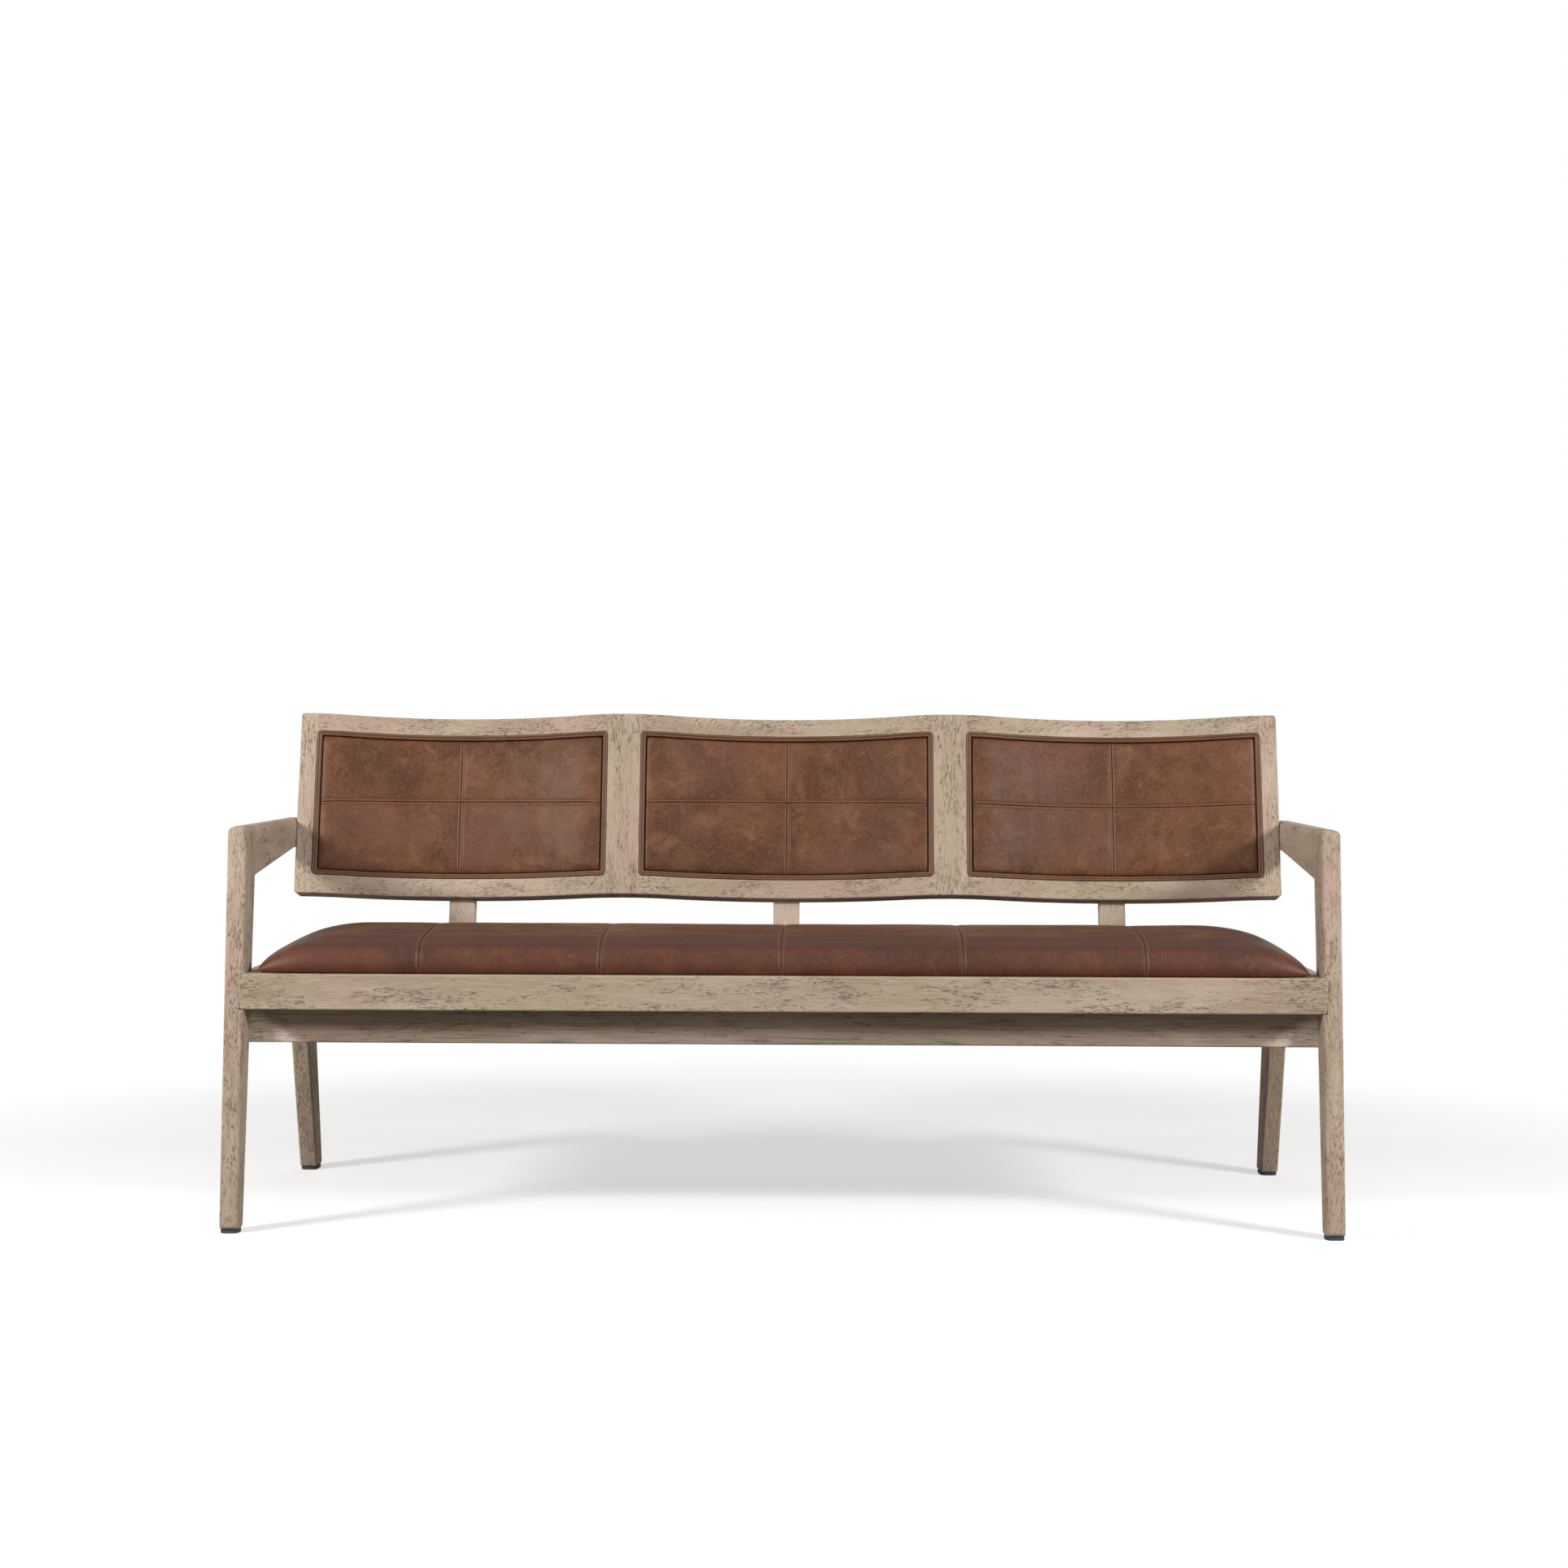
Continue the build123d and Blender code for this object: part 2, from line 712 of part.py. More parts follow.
def deck_screw_places():
    """Screws up through the front corner blocks and the bearers into the seat board, with their lengths."""
    block_bottom = seat_rail_top - corner_block_height
    bearer_bottom = seat_rail_top - bearer_height
    corner = Vector(board_end - deck_screw_margin, apron_rear + deck_screw_margin, block_bottom)
    spots = [(corner, corner_block_height + deck_screw_bite)]
    for share in (0.25, 0.75):
        depth = apron_rear + share * (board_rear - apron_rear)
        spots.append((Vector(half_frame, depth, bearer_bottom), bearer_height + deck_screw_bite))
    return spots + [(Vector(-spot.X, spot.Y, spot.Z), length) for spot, length in spots]


def doweled(places, length):
    """The dowels at the places, each as a solid."""
    return [peg(spot, way, dowel_radius, length) for spot, way in places]


def drilled(part, places, length):
    """The part with clearance holes for the dowels at the places that touch it."""
    for spot, way in places:
        part = part - peg(spot, way, dowel_radius + peg_gap, length + 2 * peg_gap)
    return part


def screwed(part, places, length):
    """The part with clearance holes for the screws at the places."""
    for seat, way in places:
        part = part - screw_hole(seat, way, length)
    return part


def deck_bored(part):
    """The part with clearance holes for the screws under the seat board."""
    for seat, length in deck_screw_places():
        part = part - screw_hole(seat, (0, 0, 1), length)
    return part


def write_node(name, shapes, middle_depth):
    """Write one node, moved so that the origin is under the middle of the bench."""
    solids = []
    for shape in shapes:
        solids += (Pos(0, -middle_depth, 0) * shape).solids()
    body = solids[0] if len(solids) == 1 else Compound(solids)
    export_step(body, f"parts/{name}.step")


def main():
    """Build every piece and write it."""
    os.makedirs("parts", exist_ok=True)
    arm_places = arm_dowel_places()
    seat_places = seat_dowel_places()
    back_places = back_dowel_places()
    nodes = {}

    plank = side_plank()
    region = arm_region()
    leg = plank - region - front_rail_housing_block()
    right_arm_places = [place for place in arm_places if place[0].X > 0]
    right_seat_places = [place for place in seat_places if place[0].X > 0]
    leg = drilled(leg, right_arm_places[:2], dowel_length)
    leg = drilled(leg, right_seat_places, short_dowel_length)
    arm = drilled(plank & region, right_arm_places, dowel_length)
    back_leg = drilled(rear_leg(), right_seat_places, short_dowel_length)
    side_rail = drilled(side_seat_rail(), right_seat_places, short_dowel_length)
    pairs = {
        "front_leg": leg,
        "armrest": arm,
        "rear_leg": back_leg,
        "side_rail": side_rail,
        "front_glide": foot_glide(0, front_foot_depth),
        "rear_glide": foot_glide(rear_foot_setback, rear_foot_depth),
        "front_corner_block": deck_bored(corner_block(apron_rear, 1)),
        "rear_corner_block": corner_block(post_rear_at_seat, -1),
        "seat_bearer": deck_bored(drilled(seat_bearer(half_frame), right_seat_places, short_dowel_length)),
    }
    for name, shape in pairs.items():
        nodes[f"right_{name}"] = [shape]
        nodes[f"left_{name}"] = [mirrored(shape)]

    nodes["front_seat_rail"] = [drilled(front_seat_rail(), seat_places, short_dowel_length)]
    nodes["front_apron"] = [drilled(front_apron(), seat_places, short_dowel_length)]
    rear_rail = drilled(rear_seat_rail(), seat_places, short_dowel_length)
    nodes["rear_seat_rail"] = [screwed(rear_rail, post_screw_places(), post_screw_length)]
    nodes["seat_board"] = [deck_bored(seat_board())]
    nodes["seat_cushion"] = [seat_cushion()]

    board = panel_board()
    piping = panel_piping()
    pad = panel_pad()
    rear_pad = panel_rear_pad()
    for index, (name, centre) in enumerate(zip(frame_names, frame_centres)):
        place = back_place(centre)
        near = [item for item in back_places if abs(item[0].X - centre) < half_frame + dowel_length]
        for piece, shape in frame_pieces(index).items():
            placed = drilled(place * shape, near, short_dowel_length)
            if piece.endswith("stile"):
                placed = drilled(placed, arm_places, dowel_length)
            nodes[f"{name}_panel_{piece}"] = [placed]
        nodes[f"{name}_panel_board"] = [place * board]
        nodes[f"{name}_panel_piping"] = [place * piping]
        nodes[f"{name}_panel_pad"] = [place * pad]
        nodes[f"{name}_panel_rear_pad"] = [place * rear_pad]
        post = drilled(back_post(centre), near, short_dowel_length)
        nodes[f"{name}_back_post"] = [screwed(post, post_screw_places(), post_screw_length)]

    nodes["arm_dowels"] = doweled(arm_places, dowel_length)
    nodes["seat_frame_dowels"] = doweled(seat_places, short_dowel_length)
    nodes["back_dowels"] = doweled(back_places, short_dowel_length)
    nodes["post_screws"] = [screw(seat, way, post_screw_length) for seat, way in post_screw_places()]
    nodes["deck_screws"] = [screw(seat, (0, 0, 1), length) for seat, length in deck_screw_places()]

    middle_depth = Compound([leg, back_leg]).bounding_box().center().Y
    for name, shapes in nodes.items():
        write_node(name, shapes, middle_depth)


main()
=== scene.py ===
import math

import bpy
import numpy as np
from mathutils import Matrix, Vector, noise
from mathutils.bvhtree import BVHTree


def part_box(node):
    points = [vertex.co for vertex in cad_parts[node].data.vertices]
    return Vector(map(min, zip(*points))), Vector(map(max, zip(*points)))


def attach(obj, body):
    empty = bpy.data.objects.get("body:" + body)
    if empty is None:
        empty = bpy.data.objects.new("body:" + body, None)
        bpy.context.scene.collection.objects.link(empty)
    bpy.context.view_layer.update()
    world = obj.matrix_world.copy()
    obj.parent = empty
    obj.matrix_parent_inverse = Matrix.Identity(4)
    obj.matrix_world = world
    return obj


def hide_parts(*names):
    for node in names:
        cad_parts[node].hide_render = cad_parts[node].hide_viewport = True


# A long upholstered bench in weathered oak and brown leather. The oak pieces are the packed
# model's own, each with its finish. The seat, the panels and their piping are made here.
# Lengths are metres. X runs along the bench, Y to the rear and Z up.

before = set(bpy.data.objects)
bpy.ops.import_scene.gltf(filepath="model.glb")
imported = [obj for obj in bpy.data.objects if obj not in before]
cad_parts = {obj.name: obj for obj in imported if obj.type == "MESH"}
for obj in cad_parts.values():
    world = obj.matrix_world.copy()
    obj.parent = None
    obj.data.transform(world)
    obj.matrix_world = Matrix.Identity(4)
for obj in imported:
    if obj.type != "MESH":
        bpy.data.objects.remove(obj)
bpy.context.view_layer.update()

MM = 0.001
BACK_NAMES = ["left", "middle", "right"]

# Sizes that the oak pieces have too
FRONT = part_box("right_front_leg")[0].y
BACK_HALF_WIDTH = 868 * MM
FRAME_WIDTH = 2 * BACK_HALF_WIDTH / len(BACK_NAMES)
HALF_FRAME = FRAME_WIDTH / 2
TILT = math.radians(12.5)
BACK_SETBACK = 410 * MM
BACK_BOTTOM = 524 * MM
BACK_HEIGHT = 326 * MM
HOLLOW = 47 * MM
CREST_RADIUS = 250 * MM
WAVE_ANGLE = 2 * math.atan(HOLLOW / HALF_FRAME)
HOLLOW_RADIUS = HALF_FRAME / math.sin(WAVE_ANGLE) - CREST_RADIUS
WINDOW_SIDE = HALF_FRAME - 28.9 * MM
WINDOW_LOW = 33 * MM
WINDOW_HIGH = BACK_HEIGHT - 31 * MM
WINDOW_MIDDLE = (WINDOW_HIGH + WINDOW_LOW) / 2
WINDOW_HALF_HEIGHT = (WINDOW_HIGH - WINDOW_LOW) / 2
APRON_TOP = 370 * MM

# Seat cushion
SEAT_END = 852 * MM
SEAT_FRONT = FRONT + 39 * MM
SEAT_REAR = FRONT + 449.2 * MM
SEAT_BASE = 414.3 * MM
SEAT_CROWN = 66.8 * MM
SEAT_EDGE = 2 * MM
SEAT_SHOULDER = 150 * MM
SEAT_TIP = 7 * MM
SEAT_CORNER = 14 * MM
SEAT_BOARD_TOP = 424.3 * MM
SEAT_BOARD_END = 814.3 * MM
SEAT_BOARD_MARGIN = 13.7 * MM
SEAT_BOARD_WALL = 0.1 * MM
SEAT_SEAMS = [293 * MM * index for index in range(-2, 3)]

# How far behind the wood's front the flat sides of the panels' leathers lie
FRONT_PAD_REAR = 20.6 * MM
REAR_PAD_FRONT = 29.4 * MM

# Seams, and the rows of stitches beside them
SEAT_STITCH_ROW = 5.5 * MM
PANEL_STITCH_ROW = 4.6 * MM
STITCH_PITCH = 4.0 * MM
STITCH_LENGTH = 3.0 * MM
STITCH_SLANT = 0.35 * MM
THREAD_RADIUS = 0.55 * MM
ON_SEAM = 0.5 * MM
FAR = 1.0  # no seam or rim shows so far away

# Cloth simulation
CLOTH_FRAMES = 20
CLOTH_PRESSURE = 4.0
CLOTH_SLACK = 0.004
CALMING_ROUNDS = 3
SEAT_SWELL = 1.2 * MM
PANEL_SWELL = 3 * MM


def srgb(red, green, blue):
    """A colour as it looks on screen, 0 to 255, in the shader's own terms."""
    parts = [value / 255 for value in (red, green, blue)]
    linear = [((part + 0.055) / 1.055) ** 2.4 if part > 0.04045 else part / 12.92 for part in parts]
    return (*linear, 1.0)


# Colours of the oak
OAK_DEEP_WASH = srgb(178, 156, 136)
OAK_PALE_WASH = srgb(201, 181, 161)
OAK_HONEY = srgb(183, 166, 138)
OAK_ROSE = srgb(192, 163, 146)
# Painted light: a pale tone on the apron's corners and on the back posts
OAK_PAINTED_LIGHT = srgb(230, 212, 194)
OAK_DARK_FIBRE = srgb(142, 126, 109)
OAK_PALE_FIBRE = srgb(218, 205, 189)
OAK_STAIN = srgb(98, 85, 73)
# Painted shade in hollows
OAK_HOLLOW_SHADE = srgb(96, 82, 70)
OAK_WORN_EDGE = srgb(210, 196, 179)
OAK_SCORE = srgb(112, 99, 86)
# Painted shadow on the apron under the front rail; an even darkening on some other pieces
OAK_SHADE = srgb(64, 40, 26)

# Colours that the leathers share
LEATHER_PIT = srgb(40, 22, 14)
LEATHER_SCRATCH = srgb(176, 136, 112)
# Red with painted shade at the seat's foot; faded with painted sheen on its crown
LEATHER_RED_AND_PAINTED_SHADE_FOOT = srgb(92, 42, 28)
LEATHER_FADED_AND_PAINTED_SHEEN = srgb(120, 92, 68)
SEAM_FURROW = srgb(50, 25, 16)
SEAM_BAND = srgb(186, 146, 122)
# Painted shade along the stitch rows
STITCH_ROW_SHADE = srgb(58, 31, 21)
# Painted shade at the panels' rims
LEATHER_RIM_SHADE = srgb(48, 24, 15)

# Where marks, a painted shadow and painted light begin and end on the oak
STAIN_AT_CORNERS = 55 * MM, 10 * MM
STAIN_AT_RAIL_ENDS = 740 * MM, 850 * MM
# The apron's corners with painted light, and the low strip where its painted shadow is lighter
APRON_PAINTED_LIGHT_CORNER = 872 * MM, 922 * MM
PAINTED_LIGHT_CORNER_SLANT = 1.6
APRON_LOW_STRIP = 78 * MM, 46 * MM

# Where wear, painted shade and painted sheen begin and end: heights over the seat's base, and distances from
# a seam or rim
FADED_AND_PAINTED_SHEEN_CROWN = 54 * MM, 65 * MM
PAINTED_SHADE_SHOULDER = 38 * MM, 47 * MM
RED_AND_PAINTED_SHADE_FOOT = 34 * MM, 12 * MM
FURROW_EDGE = 0.9 * MM, 0.3 * MM
BAND_INNER_EDGE = 0.5 * MM, 1.3 * MM
STITCH_ROW_SHADE_EDGE = 1.4 * MM, 0.4 * MM
RIM_EDGE = 2.5 * MM, 0.0


class Value:
    """A shader socket that takes part in sums: each sum adds its Math node."""

    def __init__(self, finish, socket):
        self.finish = finish
        self.socket = socket

    def math(self, operation, *others):
        return self.finish.node("ShaderNodeMath", {"operation": operation}, dict(enumerate((self, *others))))

    def __add__(self, other):
        return self.math("ADD", other)

    __radd__ = __add__

    def __sub__(self, other):
        return self.math("SUBTRACT", other)

    def __rsub__(self, other):
        return self.finish.node("ShaderNodeMath", {"operation": "SUBTRACT"}, {0: other, 1: self})

    def __mul__(self, other):
        return self.math("MULTIPLY", other)

    __rmul__ = __mul__

    def __abs__(self):
        return self.math("ABSOLUTE")


class Finish:
    """A material in the making, with the calls that add its nodes."""

    def __init__(self, name, tree=None):
        if tree is None:
            self.material = bpy.data.materials.new(name)
            self.material.use_nodes = True
            tree = self.material.node_tree
        self.tree = tree
        tree.nodes.clear()

    def node(self, kind, settings=None, inputs=None, out=0):
        """Any node: its settings first, then the numbers or links of its sockets."""
        made = self.tree.nodes.new(kind)
        for key, setting in (settings or {}).items():
            setattr(made, key, setting)
        for key, value in (inputs or {}).items():
            if isinstance(value, Value):
                self.tree.links.new(value.socket, made.inputs[key])
            else:
                made.inputs[key].default_value = value
        return Value(self, made.outputs[out]) if made.outputs else None

    def mix(self, share, first, second):
        """Colours mixed by a share from 0 to 1."""
        settings = {"data_type": "RGBA", "clamp_factor": True}
        return self.node("ShaderNodeMix", settings, {0: share, 6: first, 7: second}, out=2)

    def between(self, value, low, high):
        """A soft step from 0 at low to 1 at high."""
        inputs = {"Value": value, "From Min": low, "From Max": high}
        return self.node("ShaderNodeMapRange", {"interpolation_type": "SMOOTHSTEP"}, inputs)

    def vector(self, x, y, z):
        return self.node("ShaderNodeCombineXYZ", None, {0: x, 1: y, 2: z})

    def noise(self, place, scale=1.0, detail=2.0, roughness=0.5, distortion=0.0):
        inputs = {"Vector": place, "Scale": scale, "Detail": detail}
        inputs |= {"Roughness": roughness, "Distortion": distortion}
        return self.node("ShaderNodeTexNoise", None, inputs)

    def place(self, seed=0.0):
        """Where a point is on the bench, moved by a seed."""
        here = self.node("ShaderNodeTexCoord", out="Object")
        inputs = {0: here, 1: (seed * 3.17, seed * 1.73, seed * 2.41)}
        return self.node("ShaderNodeVectorMath", {"operation": "ADD"}, inputs)

    def measure(self, place, direction):
        """How far a place lies along a direction."""
        inputs = {0: place, 1: direction}
        return self.node("ShaderNodeVectorMath", {"operation": "DOT_PRODUCT"}, inputs, out="Value")

    def stretched(self, place, run, long_scale, cross_scale):
        """A place for long thin marks: measured slowly along run and fast across it."""
        run = Vector(run).normalized()
        side = run.orthogonal().normalized()
        ways = [run * long_scale, side * cross_scale, run.cross(side) * cross_scale]
        return self.vector(*[self.measure(place, way) for way in ways])

    def bump(self, height, strength, distance):
        inputs = {"Height": height, "Strength": strength, "Distance": distance}
        return self.node("ShaderNodeBump", None, inputs)

    def surface(self, **sockets):
        """The finished surface. Names give the shader's sockets, with _ for each space."""
        named = {name.replace("_", " "): value for name, value in sockets.items()}
        shader = self.node("ShaderNodeBsdfPrincipled", None, named)
        self.node("ShaderNodeOutputMaterial", None, {"Surface": shader})
        return self.material


# Finishes

def frame_corners(oak):
    """1 at the window corners of the back frames, where dark stain has gathered."""
    here = oak.place()
    border = (oak.measure(here, (1, 0, 0)) + BACK_HALF_WIDTH).math("PINGPONG", HALF_FRAME)
    start = (FRONT + BACK_SETBACK) * math.sin(TILT) + BACK_BOTTOM * math.cos(TILT)
    up = oak.measure(here, (0, math.sin(TILT), math.cos(TILT))) - start
    aside = border - (HALF_FRAME - WINDOW_SIDE)
    above = abs(up - WINDOW_MIDDLE) - WINDOW_HALF_HEIGHT
    return oak.between((aside * aside + above * above).math("SQRT"), *STAIN_AT_CORNERS)


def all_over(oak):
    """The same share everywhere."""
    return 0.5


def rail_ends(oak):
    """1 at both ends of a long rail."""
    return oak.between(abs(oak.measure(oak.place(), (1, 0, 0))), *STAIN_AT_RAIL_ENDS)


def apron_painted_light_corners(oak):
    """1 on the apron's corners, where light is painted on, 0 between them."""
    here = oak.place()
    drop = APRON_TOP - oak.measure(here, (0, 0, 1))
    along = abs(oak.measure(here, (1, 0, 0)))
    return oak.between(along + drop * PAINTED_LIGHT_CORNER_SLANT, *APRON_PAINTED_LIGHT_CORNER)


def under_rail(oak):
    """How far the apron has a painted shadow of the front rail: less on its low strip, none at its corners.
    """
    drop = APRON_TOP - oak.measure(oak.place(), (0, 0, 1))
    low_strip_share = 0.65
    share = oak.between(drop, *APRON_LOW_STRIP) * (1 - low_strip_share) + low_strip_share
    return (1 - apron_painted_light_corners(oak)) * share


def weathered_oak(
    name, run, seed, marks=1.0, hatch=0.0, shade=0.0, lines=0.0, gather=None, painted_shadow_where=None, paling_and_painted_light=None
):
    """Whitewashed oak, its grain along run: pale patches, fine fibre, clustered flecks and worn edges.

    marks is the strength of the dark marks, hatch of slanting scores, shade of a darkening, and lines the
    share of long lines among the marks. gather says where marks gather, painted_shadow_where where the
    darkening is a painted shadow rather than even, and paling_and_painted_light where light is painted on
    as a paler wash. Hollows are darkened with painted shade.
    """
    oak = Finish(name)
    here = oak.place(seed)

    def grain(long_scale, cross_scale, detail=2.0, roughness=0.5, distortion=0.0):
        place = oak.stretched(here, run, long_scale, cross_scale)
        return oak.noise(place, 1.0, detail, roughness, distortion)

    patches = grain(2.5, 14, 3, 0.6)
    warmth = grain(4.5, 13, 2, 0.5, 0.4)
    cloud = grain(16, 60, 4, 0.6)
    fibre = grain(28, 520, 3, 0.65)
    fine = grain(120, 1500, 2, 0.6)
    wash = oak.mix(oak.between(patches, 0.34, 0.64), OAK_DEEP_WASH, OAK_PALE_WASH)
    wash = oak.mix(oak.between(warmth, 0.52, 0.66) * 0.6, wash, OAK_HONEY)
    wash = oak.mix(oak.between(warmth, 0.48, 0.34) * 0.7, wash, OAK_ROSE)
    # Painted light: the wash made paler where light falls
    if paling_and_painted_light:
        wash = oak.mix(paling_and_painted_light(oak) * 0.9, wash, OAK_PAINTED_LIGHT)
    wash = oak.mix(oak.between(fibre, 0.52, 0.70) * 0.36, wash, OAK_DARK_FIBRE)
    wash = oak.mix(oak.between(fibre, 0.47, 0.30) * 0.42, wash, OAK_PALE_FIBRE)

    clusters = oak.between(grain(8, 30, 4, 0.64, 0.7), 0.47, 0.59)
    if gather:
        gathered = gather(oak) * oak.between(grain(18, 50, 3, 0.6), 0.34, 0.52)
        clusters = (clusters + gathered).math("MINIMUM", 1.0)
    flecks = oak.between(grain(110, 470, 2, 0.62), 0.55, 0.62) * (clusters * 0.84 + 0.16)
    streaks = oak.between(grain(40, 300, 3, 0.6), 0.60, 0.67) * (clusters * 0.75 + 0.12)
    smudge = oak.between(grain(24, 80, 4, 0.66), 0.48, 0.68) * clusters * 0.45
    if lines:
        flecks = flecks * (1 - lines)
        streaks = streaks + oak.between(grain(9, 420, 3, 0.6), 0.54, 0.64) * lines * 0.7
    dark = ((flecks + streaks + smudge) * marks).math("MINIMUM", 1.0)
    wash = oak.mix(dark * 0.74, wash, OAK_STAIN)

    # Painted shade: darker in hollows that ambient occlusion finds, broken up by a noise
    hollow = oak.node("ShaderNodeAmbientOcclusion", {"samples": 4}, {"Distance": 14 * MM}, out="AO")
    painted_hollow_shade = oak.between(hollow, 0.80, 0.35) * oak.between(grain(14, 40, 4, 0.66), 0.36, 0.58)
    wash = oak.mix(painted_hollow_shade * 0.45, wash, OAK_HOLLOW_SHADE)

    worn = oak.node("ShaderNodeBevel", {"samples": 4}, {"Radius": 4 * MM})
    bend = oak.measure(worn, oak.node("ShaderNodeNewGeometry", out="Normal"))
    edge = oak.between(bend, 0.995, 0.90) * oak.between(grain(30, 60, 3, 0.6), 0.3, 0.6)
    wash = oak.mix(edge * 0.45, wash, OAK_WORN_EDGE)

    if hatch:
        slant = Vector(run).normalized() + Vector((0.0, 0.25, 0.75))
        scores = oak.noise(oak.stretched(here, slant, 60, 440), 1.0, 2, 0.5)
        zone = oak.between(grain(6, 16, 2, 0.5), 0.47, 0.58)
        wash = oak.mix(oak.between(scores, 0.55, 0.62) * zone * hatch, wash, OAK_SCORE)
    # An even darkening, shaped into a painted shadow where painted_shadow_where is given
    if shade:
        wash = oak.mix(painted_shadow_where(oak) * shade if painted_shadow_where else shade, wash, OAK_SHADE)

    height = fibre * 0.5 + fine * 0.35 + cloud * 0.6 - dark * 0.9
    return oak.surface(
        Base_Color=wash,
        Roughness=0.66 + 0.2 * cloud,
        Specular_IOR_Level=0.22,
        Normal=oak.bump(height, 0.55, 0.6 * MM),
    )


def seat_wear_and_painted_light(hide):
    """How far the seat's crown is faded with painted sheen, its shoulder has painted shade, its foot red
    painted shade.
    """
    height = hide.measure(hide.place(), (0, 0, 1)) - SEAT_BASE
    crown = hide.between(height, *FADED_AND_PAINTED_SHEEN_CROWN)
    shoulder = hide.between(height, *PAINTED_SHADE_SHOULDER) * (1 - crown)
    return crown, shoulder, hide.between(height, *RED_AND_PAINTED_SHADE_FOOT)


def waxed_leather(
    name, seed, light, middle, dark, tint, stitch_row=FAR, gloss=0.24, paling_and_painted_light=0.42, wear_and_painted_light=None
):
    """Waxed pull-up leather: clouded colour, speckle, fine scratches, a close grain and a soft sheen.

    stitch_row is how far the stitches run beside a seam, paling_and_painted_light how pale the leather is
    between them, and wear_and_painted_light where the seat's crown is faded with painted sheen, its
    shoulder has painted shade and its foot is red with painted shade.
    """
    hide = Finish(name)
    here = hide.place(seed)
    cloud = hide.noise(here, 6, 4, 0.6, 0.8)
    blotch = hide.noise(here, 24, 5, 0.64, 0.5)
    tone = hide.noise(here, 3.6, 3, 0.5, 0.3)
    speckle = hide.noise(here, 260, 3, 0.66)
    grain = hide.node("ShaderNodeTexVoronoi", None, {"Vector": here, "Scale": 760})
    spots = hide.noise(here, 62, 4, 0.62, 0.4)
    fleck = hide.noise(here, 105, 4, 0.66, 0.3)
    colour = hide.mix(hide.between(cloud, 0.36, 0.62), dark, middle)
    # Each figure in turn: where it begins and is full, its share and its colour
    for figure, low, high, share, shade in (
        (blotch, 0.50, 0.70, 0.75, light),
        (blotch, 0.48, 0.32, 0.75, dark),
        (spots, 0.55, 0.67, hide.between(cloud, 0.60, 0.46) * 0.6, dark),
        (fleck, 0.52, 0.66, 0.34, dark),
        (fleck, 0.47, 0.33, 0.30, light),
        (tone, 0.50, 0.64, 0.70, tint),
        (speckle, 0.48, 0.62, 0.32, light),
        (speckle, 0.48, 0.34, 0.40, dark),
    ):
        colour = hide.mix(hide.between(figure, low, high) * share, colour, shade)
    pits = hide.between(hide.noise(here, 150, 3, 0.6), 0.58, 0.68) * hide.between(cloud, 0.56, 0.44)
    colour = hide.mix(pits * 0.45, colour, hide.mix(0.5, dark, LEATHER_PIT))

    scratches = 0.0
    for way, rarity in (((0.9, 0.2, 0.5), 0.66), ((-0.5, 0.5, 0.8), 0.68), ((0.3, -0.9, 0.3), 0.67)):
        lines = hide.noise(hide.stretched(here, way, 13, 400), 1.0, 2, 0.5, 0.2)
        scratches = scratches + hide.between(lines, rarity, rarity + 0.06)
    scratches = scratches * hide.between(hide.noise(here, 10, 2), 0.46, 0.60)
    colour = hide.mix(scratches * 0.40, colour, hide.mix(0.35, light, LEATHER_SCRATCH))

    if wear_and_painted_light:
        crown, shoulder, foot = wear_and_painted_light(hide)
        pulled = hide.noise(hide.stretched(here, (1, 0, 0), 11, 62), 1.0, 4, 0.62, 0.6)
        # Seat: painted shade on the shoulder, red and painted shade at the foot, fading and painted sheen on
        # the crown
        colour = hide.mix(shoulder * 0.74, colour, dark)
        colour = hide.mix(foot * 0.25, colour, LEATHER_RED_AND_PAINTED_SHADE_FOOT)
        colour = hide.mix(crown * (0.03 + 0.50 * hide.between(pulled, 0.47, 0.60)), colour, LEATHER_FADED_AND_PAINTED_SHEEN)

    noted = [{"attribute_name": name} for name in ("seam_distance", "rim_distance")]
    seam, rim = [hide.node("ShaderNodeAttribute", name, out="Fac") for name in noted]
    colour = hide.mix(hide.between(seam, *FURROW_EDGE) * 0.7, colour, SEAM_FURROW)
    band = hide.between(seam, stitch_row - 0.6 * MM, stitch_row - 1.6 * MM)
    band = band * hide.between(seam, *BAND_INNER_EDGE)
    colour = hide.mix(band * paling_and_painted_light, colour, hide.mix(0.25, light, SEAM_BAND))
    # Painted shade along the stitch rows, where the leather dips at the holes
    stitch_row_shade = hide.between(abs(seam - stitch_row), *STITCH_ROW_SHADE_EDGE)
    colour = hide.mix(stitch_row_shade * 0.52, colour, STITCH_ROW_SHADE)
    # Painted shade at a panel's rim beside its piping, and on its sides and rear
    colour = hide.mix(hide.between(rim, *RIM_EDGE) * 0.7, colour, LEATHER_RIM_SHADE)

    height = grain * 0.4 + speckle * 0.5 - scratches * 0.5 + blotch * 0.8
    return hide.surface(
        Base_Color=colour,
        Roughness=0.38 + 0.24 * blotch,
        Specular_IOR_Level=gloss,
        Normal=hide.bump(height, 0.32, 0.5 * MM),
    )


def plain_finish(name, first, second, scale, roughness, metallic=0.0, bump=0.2):
    """A small part's finish: two near tones in a fine cloud, with a little texture."""
    made = Finish(name)
    here = made.place()
    cloud = made.noise(here, scale, 4, 0.6)
    return made.surface(
        Base_Color=made.mix(made.between(cloud, 0.35, 0.65), first, second),
        Roughness=roughness + 0.12 * cloud,
        Metallic=metallic,
        Normal=made.bump(cloud, bump, 0.2 * MM),
    )


